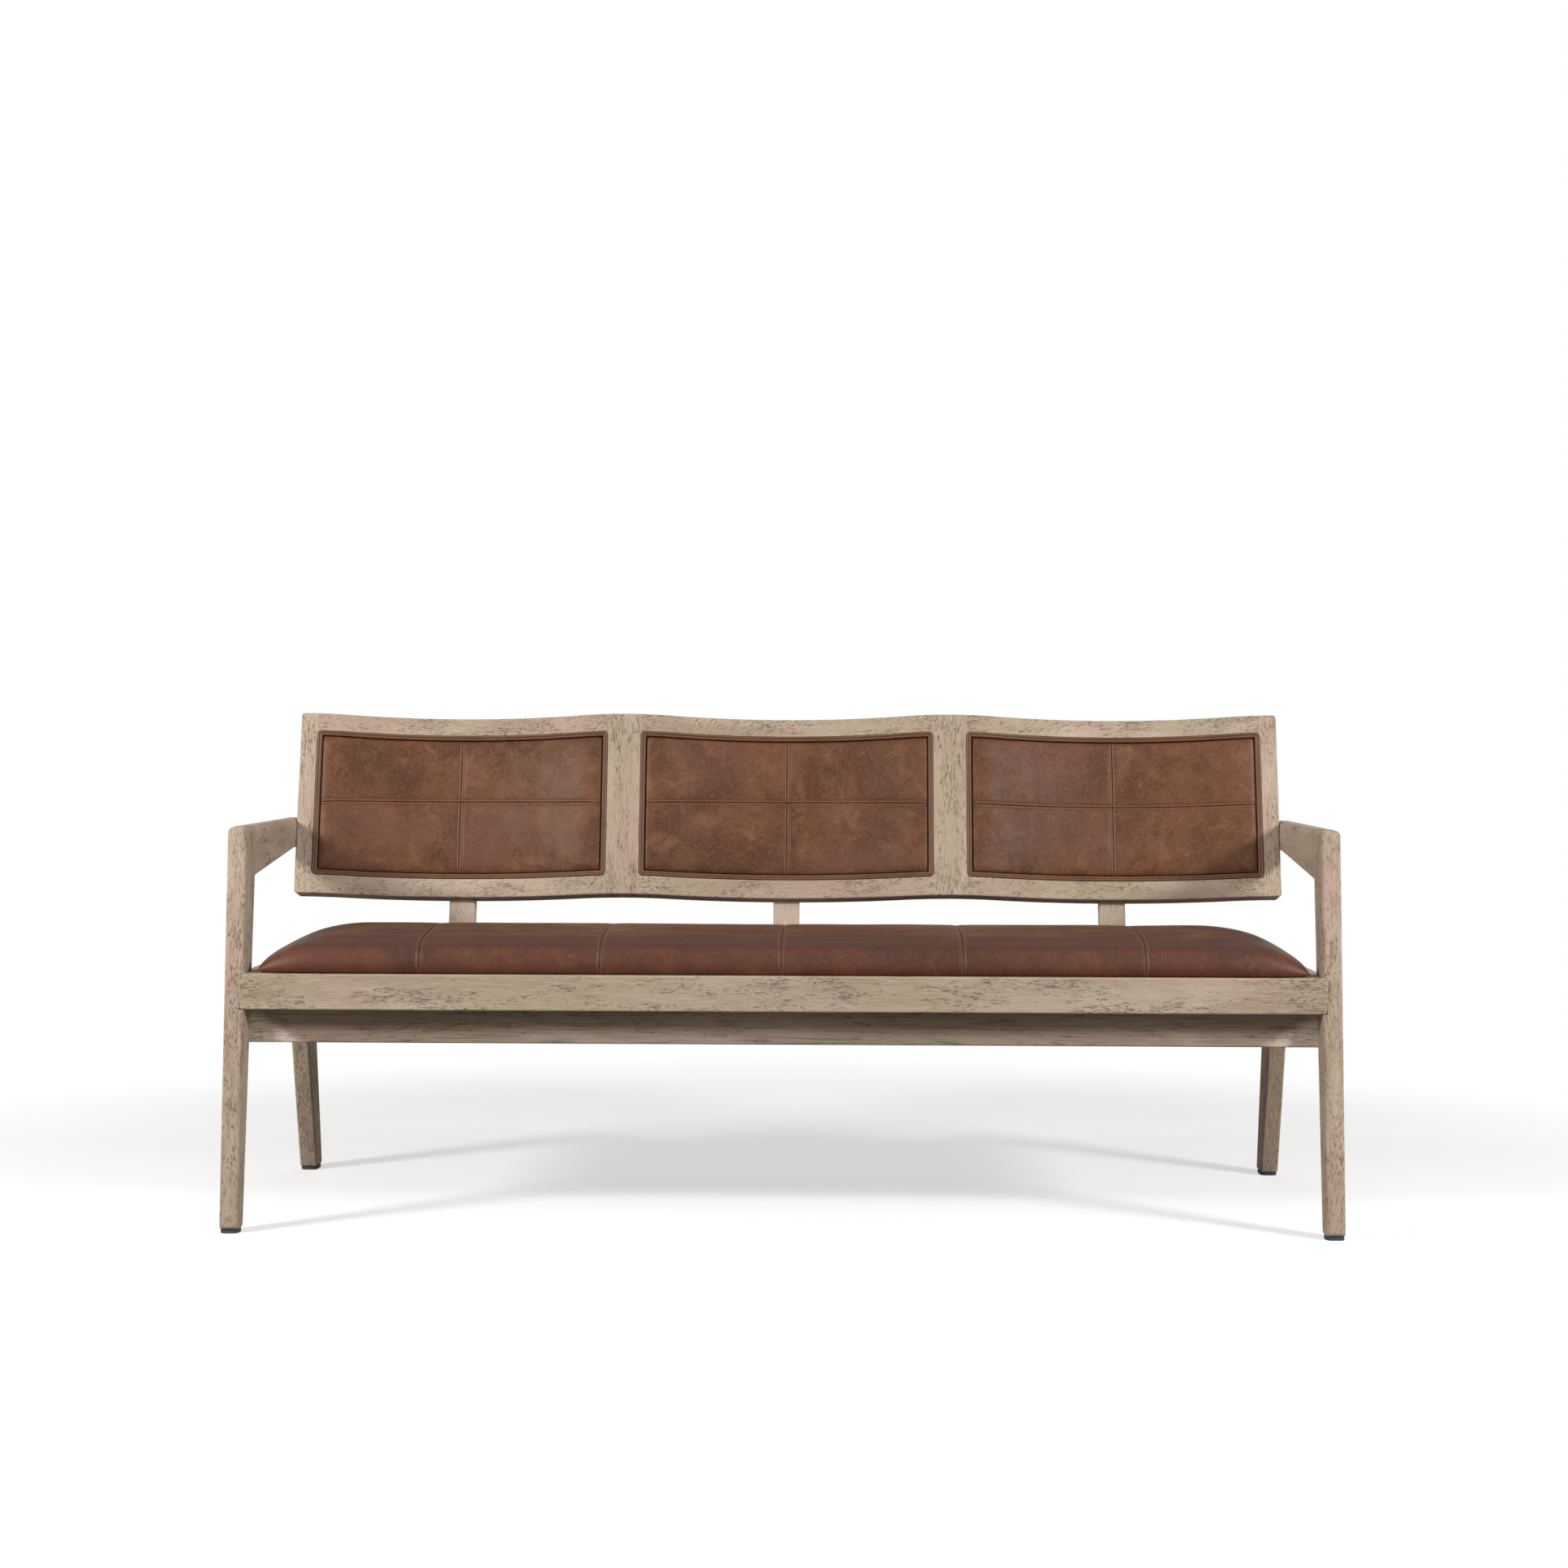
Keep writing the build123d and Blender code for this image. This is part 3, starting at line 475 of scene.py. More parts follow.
def layered_plywood():
    """Birch plywood: a wide, faint grain on its faces and thin glue lines on its edges."""
    ply = Finish("birch_plywood")
    here = ply.place(4.0)
    ways = (6, 0, 0), (0, 60, 0), (0, 0, 60)
    figure = ply.noise(ply.vector(*[ply.measure(here, way) for way in ways]), 1.0, 4, 0.6, 1.2)
    layers = ply.measure(here, (0, 0, 2600)).math("SINE")
    colour = ply.mix(ply.between(figure, 0.35, 0.65), srgb(202, 174, 134), srgb(222, 198, 160))
    colour = ply.mix(ply.between(layers, 0.6, 0.95) * 0.4, colour, srgb(150, 114, 78))
    bumps = ply.bump(figure, 0.2, 0.3 * MM)
    return ply.surface(Base_Color=colour, Roughness=0.7 + 0.1 * figure, Normal=bumps)


# Shared shapes

def through(at, values, wanted):
    """A smooth run of values through those given at some places, read at the wanted places."""
    at, values, wanted = (np.asarray(item, float) for item in (at, values, wanted))
    slopes = np.gradient(values, at, axis=0)
    index = np.clip(np.searchsorted(at, wanted) - 1, 0, len(at) - 2)
    gap = (at[index + 1] - at[index]).reshape((-1,) + (1,) * (values.ndim - 1))
    t = (wanted - at[index]).reshape(gap.shape) / gap
    return (
        (2 * t**3 - 3 * t**2 + 1) * values[index]
        + (t**3 - 2 * t**2 + t) * gap * slopes[index]
        + (3 * t**2 - 2 * t**3) * values[index + 1]
        + (t**3 - t**2) * gap * slopes[index + 1]
    )


def run_along(points):
    """How far along a line of points each of them is."""
    return np.concatenate([[0], np.cumsum(np.linalg.norm(np.diff(points, axis=0), axis=1))])


def evenly(points, count):
    """The smooth line through the points, as count places equally far apart."""
    points = np.asarray(points, float)
    chord = run_along(points)
    dense = through(chord, points, np.linspace(0, chord[-1], 260))
    run = run_along(dense)
    spots = np.linspace(0, run[-1], count)
    return np.stack([np.interp(spots, run, dense[:, axis]) for axis in range(points.shape[1])], axis=1)


def spread(moves, trial_places, trial_levels, places, levels):
    """The moves of a coarse grid, read at the places and levels of a fine one."""
    wide = through(trial_places, moves.transpose(1, 0, 2), places).transpose(1, 0, 2)
    return through(trial_levels, wide, levels)


def stations(low, high, spacing, seams, near, ends):
    """Places from low to high, closer together beside each seam and at both ends."""
    spots = np.linspace(low, high, round((high - low) / spacing) + 1)
    reach = max(near) + spacing * 0.4
    edge = max(ends) + spacing * 0.4
    spots = [spot for spot in spots if all(abs(spot - seam) > reach for seam in seams)]
    spots = [spot for spot in spots if low + edge < spot < high - edge]
    spots += [low + step for step in ends] + [high - step for step in ends]
    for seam in seams:
        spots += [seam] + [seam + side * step for step in near for side in (-1, 1)]
    return np.array(sorted(set(spots)))


def put(name, data):
    """A new object in the scene."""
    made = bpy.data.objects.new(name, data)
    bpy.context.scene.collection.objects.link(made)
    return made


def put_mesh(name, points, faces):
    """A new mesh in the scene."""
    mesh = bpy.data.meshes.new(name)
    mesh.from_pydata([tuple(point) for point in points], [], [tuple(face) for face in faces])
    return put(name, mesh)


def mesh_piece(name, points, faces, finish, slot, *replaced):
    """A smooth-shaded piece of the bench, with its finish, hung under the root body."""
    piece = put_mesh(name, points, faces)
    mesh = piece.data
    mesh.validate()
    mesh.update()
    mesh.shade_smooth()
    mesh.materials.append(finish)
    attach(piece, "root")
    if replaced:
        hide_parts(*replaced)
    return piece


def note(piece, name, values):
    """Keeps a number for each point, for the finish to use."""
    layer = piece.data.attributes.new(name, "FLOAT", "POINT")
    layer.data.foreach_set("value", np.asarray(values, np.float32).ravel())


def grid_faces(rows, columns, first=0, flip=False):
    """The faces of a grid of points that are numbered row by row."""
    faces = []
    for row in range(rows - 1):
        for column in range(columns - 1):
            a = first + row * columns + column
            face = (a, a + 1, a + columns + 1, a + columns)
            faces.append(face[::-1] if flip else face)
    return faces


def ring_faces(count, ring, first=0, joined=False):
    """The faces between rings of points, and from the last ring to the first if they are joined."""
    faces = []
    for number in range(count if joined else count - 1):
        a, b = first + number * ring, first + (number + 1) % count * ring
        faces += [(a + spot, a + (spot + 1) % ring, b + (spot + 1) % ring, b + spot) for spot in range(ring)]
    return faces


def nearest(place, seams):
    """How far the nearest seam is."""
    return min((abs(place - seam) for seam in seams), default=FAR)


def held_at(places, levels, seams_up, seams_across=()):
    """Where a grid of leather is held: its two outer lines all round, and its seams."""
    held = np.zeros((len(levels), len(places)), bool)
    held[[0, 1, -2, -1], :] = True
    held[:, [0, 1, -2, -1]] = True
    held[:, [bool(nearest(place, seams_up) < ON_SEAM) for place in places]] = True
    held[[bool(nearest(level, seams_across) < ON_SEAM) for level in levels], :] = True
    return held


def swell(points, held, shift_limit):
    """How air pressure moves a grid of leather held at its seams and edges, from a cloth simulation."""
    rows, columns = points.shape[:2]
    trial = put_mesh("leather_trial", points.reshape(-1, 3), grid_faces(rows, columns))
    group = trial.vertex_groups.new(name="held")
    group.add([int(index) for index in np.flatnonzero(held.ravel())], 1.0, "REPLACE")
    cloth = trial.modifiers.new("cloth", "CLOTH")
    leather = cloth.settings
    leather.quality = 6
    leather.mass = 0.4
    leather.tension_stiffness = 30
    leather.compression_stiffness = 30
    leather.shear_stiffness = 15
    leather.bending_stiffness = 1.5
    leather.vertex_group_mass = "held"
    leather.shrink_min = -CLOTH_SLACK
    leather.use_pressure = True
    leather.uniform_pressure_force = CLOTH_PRESSURE
    leather.effector_weights.gravity = 0
    cloth.collision_settings.use_collision = False
    for number in range(1, CLOTH_FRAMES + 1):
        bpy.context.scene.frame_set(number)
    shaped = trial.evaluated_get(bpy.context.evaluated_depsgraph_get())
    moved = np.zeros(rows * columns * 3, np.float32)
    shaped.data.vertices.foreach_get("co", moved)
    bpy.data.objects.remove(trial)
    bpy.context.scene.frame_set(1)
    shift = moved.reshape(rows, columns, 3) - points
    length = np.maximum(np.linalg.norm(shift, axis=2, keepdims=True), 1e-9)
    shift = shift * (shift_limit * np.tanh(length / shift_limit) / length)
    for _ in range(CALMING_ROUNDS):
        calm = shift.copy()
        beside = shift[:-2, 1:-1] + shift[2:, 1:-1] + shift[1:-1, :-2] + shift[1:-1, 2:]
        calm[1:-1, 1:-1] = (shift[1:-1, 1:-1] * 4 + beside) / 8
        calm[held] = 0
        shift = calm
    return shift


def fading(distance, width):
    """1 at no distance, falling off smoothly over a width."""
    return math.exp(-((distance / width) ** 2))


def sewn(distance, stitch_row, depth=1.3 * MM):
    """How far a sewn line lifts the leather: a narrow furrow, a ridge each side, a dip at the stitches."""
    ridge = 0.7 * MM
    furrow = -depth * fading(distance, 0.8 * MM)
    lift = ridge * fading(distance - 0.48 * stitch_row, 1.1 * MM)
    dip = -0.7 * ridge * fading(distance - stitch_row, 0.9 * MM)
    shoulder = 0.4 * ridge * fading(distance - 1.7 * stitch_row, 2.6 * MM)
    return furrow + lift + dip + shoulder


class Thread:
    """Stitches in leather, as one piece: each is a short tapering run of thread, sunk at both ends."""

    RING = 6

    # Along a stitch: share of its length, share of the thread's radius, and rise in radii
    STAGES = [(0.0, 0.35, -0.9), (0.12, 0.85, 0.0), (0.5, 1.0, 0.55), (0.88, 0.85, 0.0), (1.0, 0.35, -0.9)]

    def __init__(self, points, faces):
        self.surface = BVHTree.FromPolygons([Vector(point) for point in points], faces)
        self.points = []
        self.faces = []

    def stitch(self, start, end, outward):
        along = (end - start).normalized()
        side = along.cross(outward).normalized()
        first = len(self.points)
        for share, width, rise in self.STAGES:
            middle = start.lerp(end, share) + outward * rise * THREAD_RADIUS
            reach = THREAD_RADIUS * width
            for turn in range(self.RING):
                angle = 2 * math.pi * turn / self.RING
                aside = side * math.cos(angle) * reach
                self.points.append(middle + aside + outward * math.sin(angle) * reach)
        last = len(self.points) - self.RING
        self.faces += ring_faces(len(self.STAGES), self.RING, first)
        self.faces.append(tuple(range(first + self.RING - 1, first - 1, -1)))
        self.faces.append(tuple(range(last, last + self.RING)))

    def row(self, line):
        """Stitches along a line that lies near the leather, each a little askew."""
        line = np.asarray(line, float)
        run = run_along(line)

        def at(distance):
            return Vector([np.interp(distance, run, line[:, axis]) for axis in range(3)])

        count = int((run[-1] - STITCH_LENGTH) / STITCH_PITCH)
        margin = (run[-1] - count * STITCH_PITCH) / 2
        for number in range(count):
            low = margin + number * STITCH_PITCH
            start, outward, _, _ = self.surface.find_nearest(at(low))
            end, _, _, _ = self.surface.find_nearest(at(low + STITCH_LENGTH))
            skew = (end - start).normalized().cross(outward) * STITCH_SLANT * 0.5
            self.stitch(start + skew, end - skew, outward)


# Seat cushion

# The cushion's section: millimetres from an edge or shares of its depth, with shares of its height
SEAT_FRONT_ROLL = [
    (3.0, 0.0), (0.8, 0.15), (1.2, 0.29), (3.5, 0.42), (8.0, 0.55), (16.0, 0.68), (28.0, 0.775), (50.0, 0.85),
]
SEAT_TOP_LINE = [(0.23, 0.925), (0.34, 0.975), (0.45, 1.0), (0.54, 0.995), (0.65, 0.955), (0.76, 0.88)]
SEAT_REAR_ROLL = [(60.0, 0.80), (36.0, 0.70), (16.0, 0.54), (5.0, 0.36), (1.0, 0.17), (3.0, 0.0)]


def seat_section(across, count):
    """One section of the seat from its front edge over the crown to its rear edge."""
    travel = min(1.0, (SEAT_END - abs(across)) / SEAT_SHOULDER)
    rise = (1 - (1 - travel) ** 2) ** 0.5
    tip = min(1.0, (SEAT_END - abs(across)) / SEAT_TIP)
    lowest_tip = 0.02
    edge = SEAT_EDGE * math.sqrt(max(lowest_tip, 1 - (1 - tip) ** 2))
    height = edge + (SEAT_CROWN - SEAT_EDGE) * rise
    inset = SEAT_CORNER * (1 - travel) ** 4
    front, rear = SEAT_FRONT + inset, SEAT_REAR - inset
    depth = rear - front
    line = [(front + step * MM, share) for step, share in SEAT_FRONT_ROLL]
    line += [(front + part * depth, share) for part, share in SEAT_TOP_LINE]
    line += [(rear - step * MM, share) for step, share in SEAT_REAR_ROLL]
    section = evenly([(deep, share * height) for deep, share in line], count)
    return np.column_stack([np.full(count, across), section[:, 0], SEAT_BASE + section[:, 1]])


def seat_grid(places, count):
    return np.stack([seat_section(across, count) for across in places], axis=1)


def normals_of(grid):
    """The outward direction at each point of a grid."""
    rows = np.gradient(grid, axis=0)
    columns = np.gradient(grid, axis=1)
    outward = np.cross(columns, rows)
    return outward / np.maximum(np.linalg.norm(outward, axis=2, keepdims=True), 1e-12)


def ripple(place, seed, scale):
    """Soft unevenness, from -1 to 1, that is the same every time."""
    return noise.noise(Vector(place) * scale + Vector((seed, 2 * seed, 3 * seed)))


def make_seat(leather, thread):
    """The seat's sewn leather, closed underneath round the board that it lies on, and its stitches."""
    rows = 100
    trial_rows = 52
    near = [step * MM for step in (0.5, 1.1, 1.8, 2.6, 3.4, 4.3, 5.5, 6.8, 8.6, 11.0)]
    ends = [step * MM for step in (0.0, 0.8, 2.0, 3.6, 5.4, 8.0, 11.0, 15.0)]
    board = SEAT_BOARD_END
    beyond = board + SEAT_BOARD_WALL
    places = stations(-SEAT_END, SEAT_END, 5.5 * MM, SEAT_SEAMS, near, ends)
    places = np.array(sorted(set(places) | {-board, board, -beyond, beyond}))
    grid = seat_grid(places, rows)
    outward = normals_of(grid)

    shift = np.zeros_like(grid)
    trial_places = stations(-SEAT_END, SEAT_END, 11 * MM, SEAT_SEAMS, [5 * MM], [0.0, 8 * MM])
    trial_shares = np.linspace(0, 1, trial_rows)
    held = held_at(trial_places, trial_shares, SEAT_SEAMS)
    moves = swell(seat_grid(trial_places, trial_rows), held, SEAT_SWELL)
    shift = spread(moves, trial_places, trial_shares, places, np.linspace(0, 1, rows))

    seam_gap = np.array([nearest(place, SEAT_SEAMS) for place in places])
    held_share = 0.03
    for column, gap in enumerate(seam_gap):
        lift = sewn(gap, SEAT_STITCH_ROW) - 0.6 * MM * fading(gap, 18 * MM)
        for row in range(rows):
            share = row / (rows - 1)
            hold = min(1.0, share / held_share, (1 - share) / held_share)
            x, y, z = grid[row, column]
            pucker = ripple((x * 0.35, y, z), 5.0, 60) * fading(gap, 26 * MM) * 0.45 * MM
            slack = ripple((x, y, z), 1.0, 9) * 0.9 * MM + ripple((x * 0.5, y, z), 2.0, 30) * 0.35 * MM
            shift[row, column] += outward[row, column] * hold * (lift + slack + pucker)
    top = grid + shift
    top[:, :, 2] = np.maximum(top[:, :, 2], SEAT_BASE)

    columns = len(places)
    over_board = np.abs(places) <= board + SEAT_BOARD_WALL / 10
    board_height = np.where(over_board, SEAT_BOARD_TOP, SEAT_BASE)
    board_rear, board_front = SEAT_REAR - SEAT_BOARD_MARGIN, SEAT_FRONT + SEAT_BOARD_MARGIN
    lines = [
        (board_rear, SEAT_BASE),
        (board_rear - SEAT_BOARD_WALL, board_height),
        (board_front + SEAT_BOARD_WALL, board_height),
        (board_front, SEAT_BASE),
    ]
    under = [
        np.column_stack([places, np.clip(deep, top[0, :, 1], top[-1, :, 1]), np.full(columns, height)])
        for deep, height in lines
    ]
    points = np.concatenate([top.reshape(-1, 3), np.concatenate(under)])
    total = rows + len(under)
    last = (total - 1) * columns
    faces = grid_faces(total, columns)
    faces += [(last + column, last + column + 1, column + 1, column) for column in range(columns - 1)]
    faces.append([row * columns for row in range(total)])
    faces.append([row * columns + columns - 1 for row in reversed(range(total))])
    seat = mesh_piece("seat_cushion_leather", points, faces, leather, "seat_leather", "seat_cushion")
    note(seat, "seam_distance", np.concatenate([np.tile(seam_gap, rows), np.full(columns * len(under), FAR)]))
    note(seat, "rim_distance", np.full(len(points), FAR))

    stitches = Thread(points, faces)
    for across in [seam + side for seam in SEAT_SEAMS for side in (-SEAT_STITCH_ROW, SEAT_STITCH_ROW)]:
        stitches.row(seat_section(across, 160)[3:-3])
    mesh_piece("seat_cushion_stitches", stitches.points, stitches.faces, thread, "seat_leather")


# Leather panels in the back frames

def round_corner(across, along, half_width, half_height, radius):
    """A point of a square grid, moved so that the grid's corners are rounded."""
    a = (abs(across) - (half_width - radius)) / radius
    b = (abs(along) - (half_height - radius)) / radius
    if a <= 0 or b <= 0:
        return across, along
    x = half_width - radius + radius * a * math.sqrt(1 - b * b / 2)
    z = half_height - radius + radius * b * math.sqrt(1 - a * a / 2)
    return math.copysign(x, across), math.copysign(z, along)


def rolled(distance, radius):
    """The share of its full rise that a rolled edge has reached, a distance in from the edge."""
    share = min(1.0, max(0.0, distance / radius))
    return math.sqrt(1 - (1 - share) ** 2)


class PanelShape:
    """The leather of one side of a panel: its outline, its rolled edge, its crown and its seams."""

    def __init__(self, inset, corner, edge, face, crown, roll, seams_up, seams_across, aside=0.0, bow=0.0):
        self.half_width, self.half_height = WINDOW_SIDE - inset, WINDOW_HALF_HEIGHT - inset
        self.corner, self.edge, self.face = corner, edge, face
        self.crown, self.roll = crown, roll
        self.seams_up, self.seams_across = seams_up, seams_across
        self.aside, self.bow = aside, bow
        self.front = 1 if edge > face else -1

    def stations(self, spacing, near, ends):
        """Places across the leather and levels up it."""
        wide, tall = self.half_width, self.half_height
        places = stations(-wide, wide, spacing, self.seams_up, near, ends)
        return places, stations(-tall, tall, spacing, self.seams_across, near, ends)

    def setback(self, across, along):
        """How far behind the wood's front the leather's face lies, before it is sewn."""
        beside = rolled(self.half_width - abs(across), self.roll)
        above = rolled(self.half_height - abs(along), self.roll)
        wide = 1 - (abs(across) / self.half_width) ** 3
        tall = 1 - (abs(along) / self.half_height) ** 2.5
        rise = (self.face - self.edge) * (beside * above)
        return self.edge + rise - self.front * self.crown * wide * tall

    def spot(self, centre, across, along, setback=None):
        """A point of the leather: its seams are drawn a little aside and upwards in the middle."""
        deep = self.setback(across, along) if setback is None else setback
        wide = 1 - (across / self.half_width) ** 2
        tall = 1 - (along / self.half_height) ** 2
        up = WINDOW_MIDDLE + along + self.bow * wide * tall
        return back_point(centre, across + self.aside * wide, deep, up)

    def grid(self, centre, places, levels, setback=None):
        """The leather's points, on its crowned face or, with a setback, on a flat one."""
        made = np.empty((len(levels), len(places), 3))
        for row, level in enumerate(levels):
            for column, place in enumerate(places):
                across, along = round_corner(place, level, self.half_width, self.half_height, self.corner)
                made[row, column] = self.spot(centre, across, along, setback)
        return made


def wave(across):
    """How far the hollowed front of a back frame lies behind its crests."""
    distance = HALF_FRAME - abs(across)
    if distance < CREST_RADIUS * math.sin(WAVE_ANGLE):
        return CREST_RADIUS - math.sqrt(CREST_RADIUS**2 - distance**2)
    return HOLLOW - HOLLOW_RADIUS + math.sqrt(HOLLOW_RADIUS**2 - across**2)


def back_point(centre, across, setback, along):
    """A point of the bench, from its place across a back frame, behind its wavy front and up its tilt."""
    deep = wave(across) + setback
    y = FRONT + BACK_SETBACK + deep * math.cos(TILT) + along * math.sin(TILT)
    z = BACK_BOTTOM - deep * math.sin(TILT) + along * math.cos(TILT)
    return centre + across, y, z


def make_panel(name, centre, shape, flat_setback, trial, finish, thread, slot, replaced, seed):
    """One side of a panel: a sewn leather face over foam, closed round its sides and at its flat rear."""
    near = [step * MM for step in (0.5, 1.1, 1.8, 2.6, 3.4, 4.3, 5.4, 7.0, 9.5)]
    ends = [step * MM for step in (0.0, 0.5, 1.3, 2.4, 3.8, 5.4, 7.4, 10.0, 13.0)]
    calm_rim, sewn_rim, crossing = 14 * MM, 3 * MM, 4 * MM
    places, levels = shape.stations(5.5 * MM, near, ends)
    grid = shape.grid(centre, places, levels)
    outward = normals_of(grid) * shape.front
    moved = spread(*trial, places, levels) if trial else np.zeros_like(grid)
    seam_gap = np.empty(grid.shape[:2])
    rim_gap = np.empty(grid.shape[:2])
    for row, level in enumerate(levels):
        for column, place in enumerate(places):
            rim = min(shape.half_width - abs(place), shape.half_height - abs(level))
            hold = min(1.0, rim / calm_rim)
            up_gap = nearest(place, shape.seams_up)
            cross_gap = nearest(level, shape.seams_across)
            gap = min(up_gap, cross_gap)
            lift = sewn(up_gap, PANEL_STITCH_ROW) * min(1.0, cross_gap / crossing)
            lift += sewn(cross_gap, PANEL_STITCH_ROW, 1.5 * MM)
            drawn = -0.5 * MM * (fading(up_gap, 13 * MM) + fading(cross_gap, 13 * MM))
            slack = ripple((place, level, 0), seed, 14) * 0.8 * MM
            slack += ripple((place, level, 1), seed, 45) * 0.25 * MM
            pucker = ripple((place, level * 0.4, 2), seed, 90) * fading(gap, 22 * MM) * 0.35 * MM
            rise = lift * min(1.0, rim / sewn_rim) + hold * (drawn + slack + pucker)
            moved[row, column] += outward[row, column] * rise
            seam_gap[row, column] = gap
            rim_gap[row, column] = rim
    rows, columns = grid.shape[:2]
    total = rows * columns
    rear = shape.grid(centre, places, levels, flat_setback)
    points = np.concatenate([(grid + moved).reshape(-1, 3), rear.reshape(-1, 3)])
    flip = shape.front < 0
    faces = grid_faces(rows, columns, 0, flip) + grid_faces(rows, columns, total, not flip)
    index = np.arange(total).reshape(rows, columns)
    loop = np.concatenate([index[0], index[1:, -1], index[-1, -2::-1], index[-2:0:-1, 0]]).tolist()
    for a, b in zip(loop, loop[1:] + loop[:1]):
        side = (a, a + total, b + total, b)
        faces.append(side[::-1] if flip else side)
    piece = mesh_piece(name, points, faces, finish, slot, replaced)
    note(piece, "seam_distance", np.concatenate([seam_gap.ravel(), np.full(total, FAR)]))
    note(piece, "rim_distance", np.concatenate([rim_gap.ravel(), np.zeros(total)]))

    stitches = Thread(points, faces)
    clear = PANEL_STITCH_ROW + 3 * MM
    side_end = shape.half_width - 4 * MM
    top_end = shape.half_height - 4 * MM
    sides = (-PANEL_STITCH_ROW, PANEL_STITCH_ROW)
    breaks = [-top_end, top_end]
    for cross in shape.seams_across:
        breaks[1:1] = [cross - clear, cross + clear]
    for across in [seam + side for seam in shape.seams_up for side in sides]:
        for low, high in zip(breaks[::2], breaks[1::2]):
            spots = np.linspace(low, high, 80)
            stitches.row([shape.spot(centre, across, spot) for spot in spots])
    for along in [seam + side for seam in shape.seams_across for side in sides]:
        spots = np.linspace(-side_end, side_end, 160)
        stitches.row([shape.spot(centre, spot, along) for spot in spots])
    mesh_piece(f"{name}_stitches", stitches.points, stitches.faces, thread, slot)


def panel_trial(shape):
    """How pressure moves a front panel's leather between its seams, with the trial's places and levels."""
    places, levels = shape.stations(7 * MM, near=[3.5 * MM], ends=[0.0, 4 * MM])
    held = held_at(places, levels, shape.seams_up, shape.seams_across)
    return swell(shape.grid(0.0, places, levels), held, PANEL_SWELL), places, levels


def piping_path(inset, corner, spacing):
    """The rounded oblong that the piping follows, with the outward direction at each place."""
    half_width = WINDOW_SIDE - inset
    half_height = WINDOW_HALF_HEIGHT - inset
    corner_steps = 8
    path = []
    for sign_x, sign_z, start in ((1, -1, -90), (1, 1, 0), (-1, 1, 90), (-1, -1, 180)):
        for step in range(corner_steps + 1):
            angle = math.radians(start + step * 90 / corner_steps)
            x = sign_x * (half_width - corner) + corner * math.cos(angle)
            z = sign_z * (half_height - corner) + corner * math.sin(angle)
            path.append((x, WINDOW_MIDDLE + z, math.cos(angle), math.sin(angle)))
    dense = []
    for here, there in zip(path, path[1:] + path[:1]):
        gap = math.hypot(there[0] - here[0], there[1] - here[1])
        pieces = max(1, round(gap / spacing))
        for number in range(pieces):
            share = number / pieces
            dense.append(tuple(a + (b - a) * share for a, b in zip(here, there)))
    return dense


def make_piping(name, centre, finish, seed):
    """A sewn leather cord round a panel: a full outer bead, a crease and a thin inner lip."""
    # Places round the cord in millimetres, outwards along the wood and forwards from it
    profile = [
        (4.5, -4.6), (4.6, -1.0), (4.5, 0.6), (4.0, 1.6), (3.2, 2.2), (2.3, 2.45), (1.3, 2.25), (0.6, 1.7),
        (0.1, 0.9), (-0.4, 1.15), (-1.3, 1.65), (-2.3, 1.65), (-3.3, 1.15), (-4.0, 0.2), (-4.3, -1.0),
        (-4.2, -4.6),
    ]
    crease_place = 0.1
    join_place = 6 * MM
    path = piping_path(inset=5.1 * MM, corner=4.4 * MM, spacing=4 * MM)
    points = []
    for x, z, out_x, out_z in path:
        size = 1 + 0.05 * ripple((x, z, 0), seed, 60)
        join = fading(x - join_place, 1.4 * MM) if z < WINDOW_LOW + 20 * MM else 0.0
        for out, rise in profile:
            reach = out * MM * size
            height = (rise * size - (0.9 * join if rise > -1 else 0.0)) * MM
            points.append(back_point(centre, x + out_x * reach, -height, z + out_z * reach))
    faces = ring_faces(len(path), len(profile), joined=True)
    piece = mesh_piece(f"{name}_panel_cord", points, faces, finish, "leather_piping", f"{name}_panel_piping")
    crease = [abs(out - crease_place) * MM for out, _ in profile]
    note(piece, "seam_distance", np.tile(np.array(crease) + 0.25 * MM, len(path)))
    note(piece, "rim_distance", np.full(len(points), FAR))


# Room, light and camera

PHOTO_SIDE = 1932  # pixels
FOCAL_LENGTH = 3100  # pixels of the photograph
SENSOR_WIDTH = 36.0  # millimetres, as Blender has it


def area_lamp(name, location, target, size, power, tone=(1.0, 1.0, 1.0)):
    """A softbox at a place, turned to a target, with its width and height."""
    data = bpy.data.lights.new(name, "AREA")
    data.shape = "RECTANGLE"
    data.size, data.size_y = size
    data.energy = power
    data.color = tone
    lamp = put(name, data)
    lamp.location = location
    lamp.rotation_euler = (Vector(target) - Vector(location)).to_track_quat("-Z", "Y").to_euler()


def seen_directly(finish):
    """1 for rays from the camera, reflections and clear material, and 0 for the light on the object."""
    kinds = ("Is Camera Ray", "Is Glossy Ray", "Is Transmission Ray")
    camera, glossy, clear = [finish.node("ShaderNodeLightPath", out=kind) for kind in kinds]
    return (camera + glossy + clear).math("MINIMUM", 1.0)


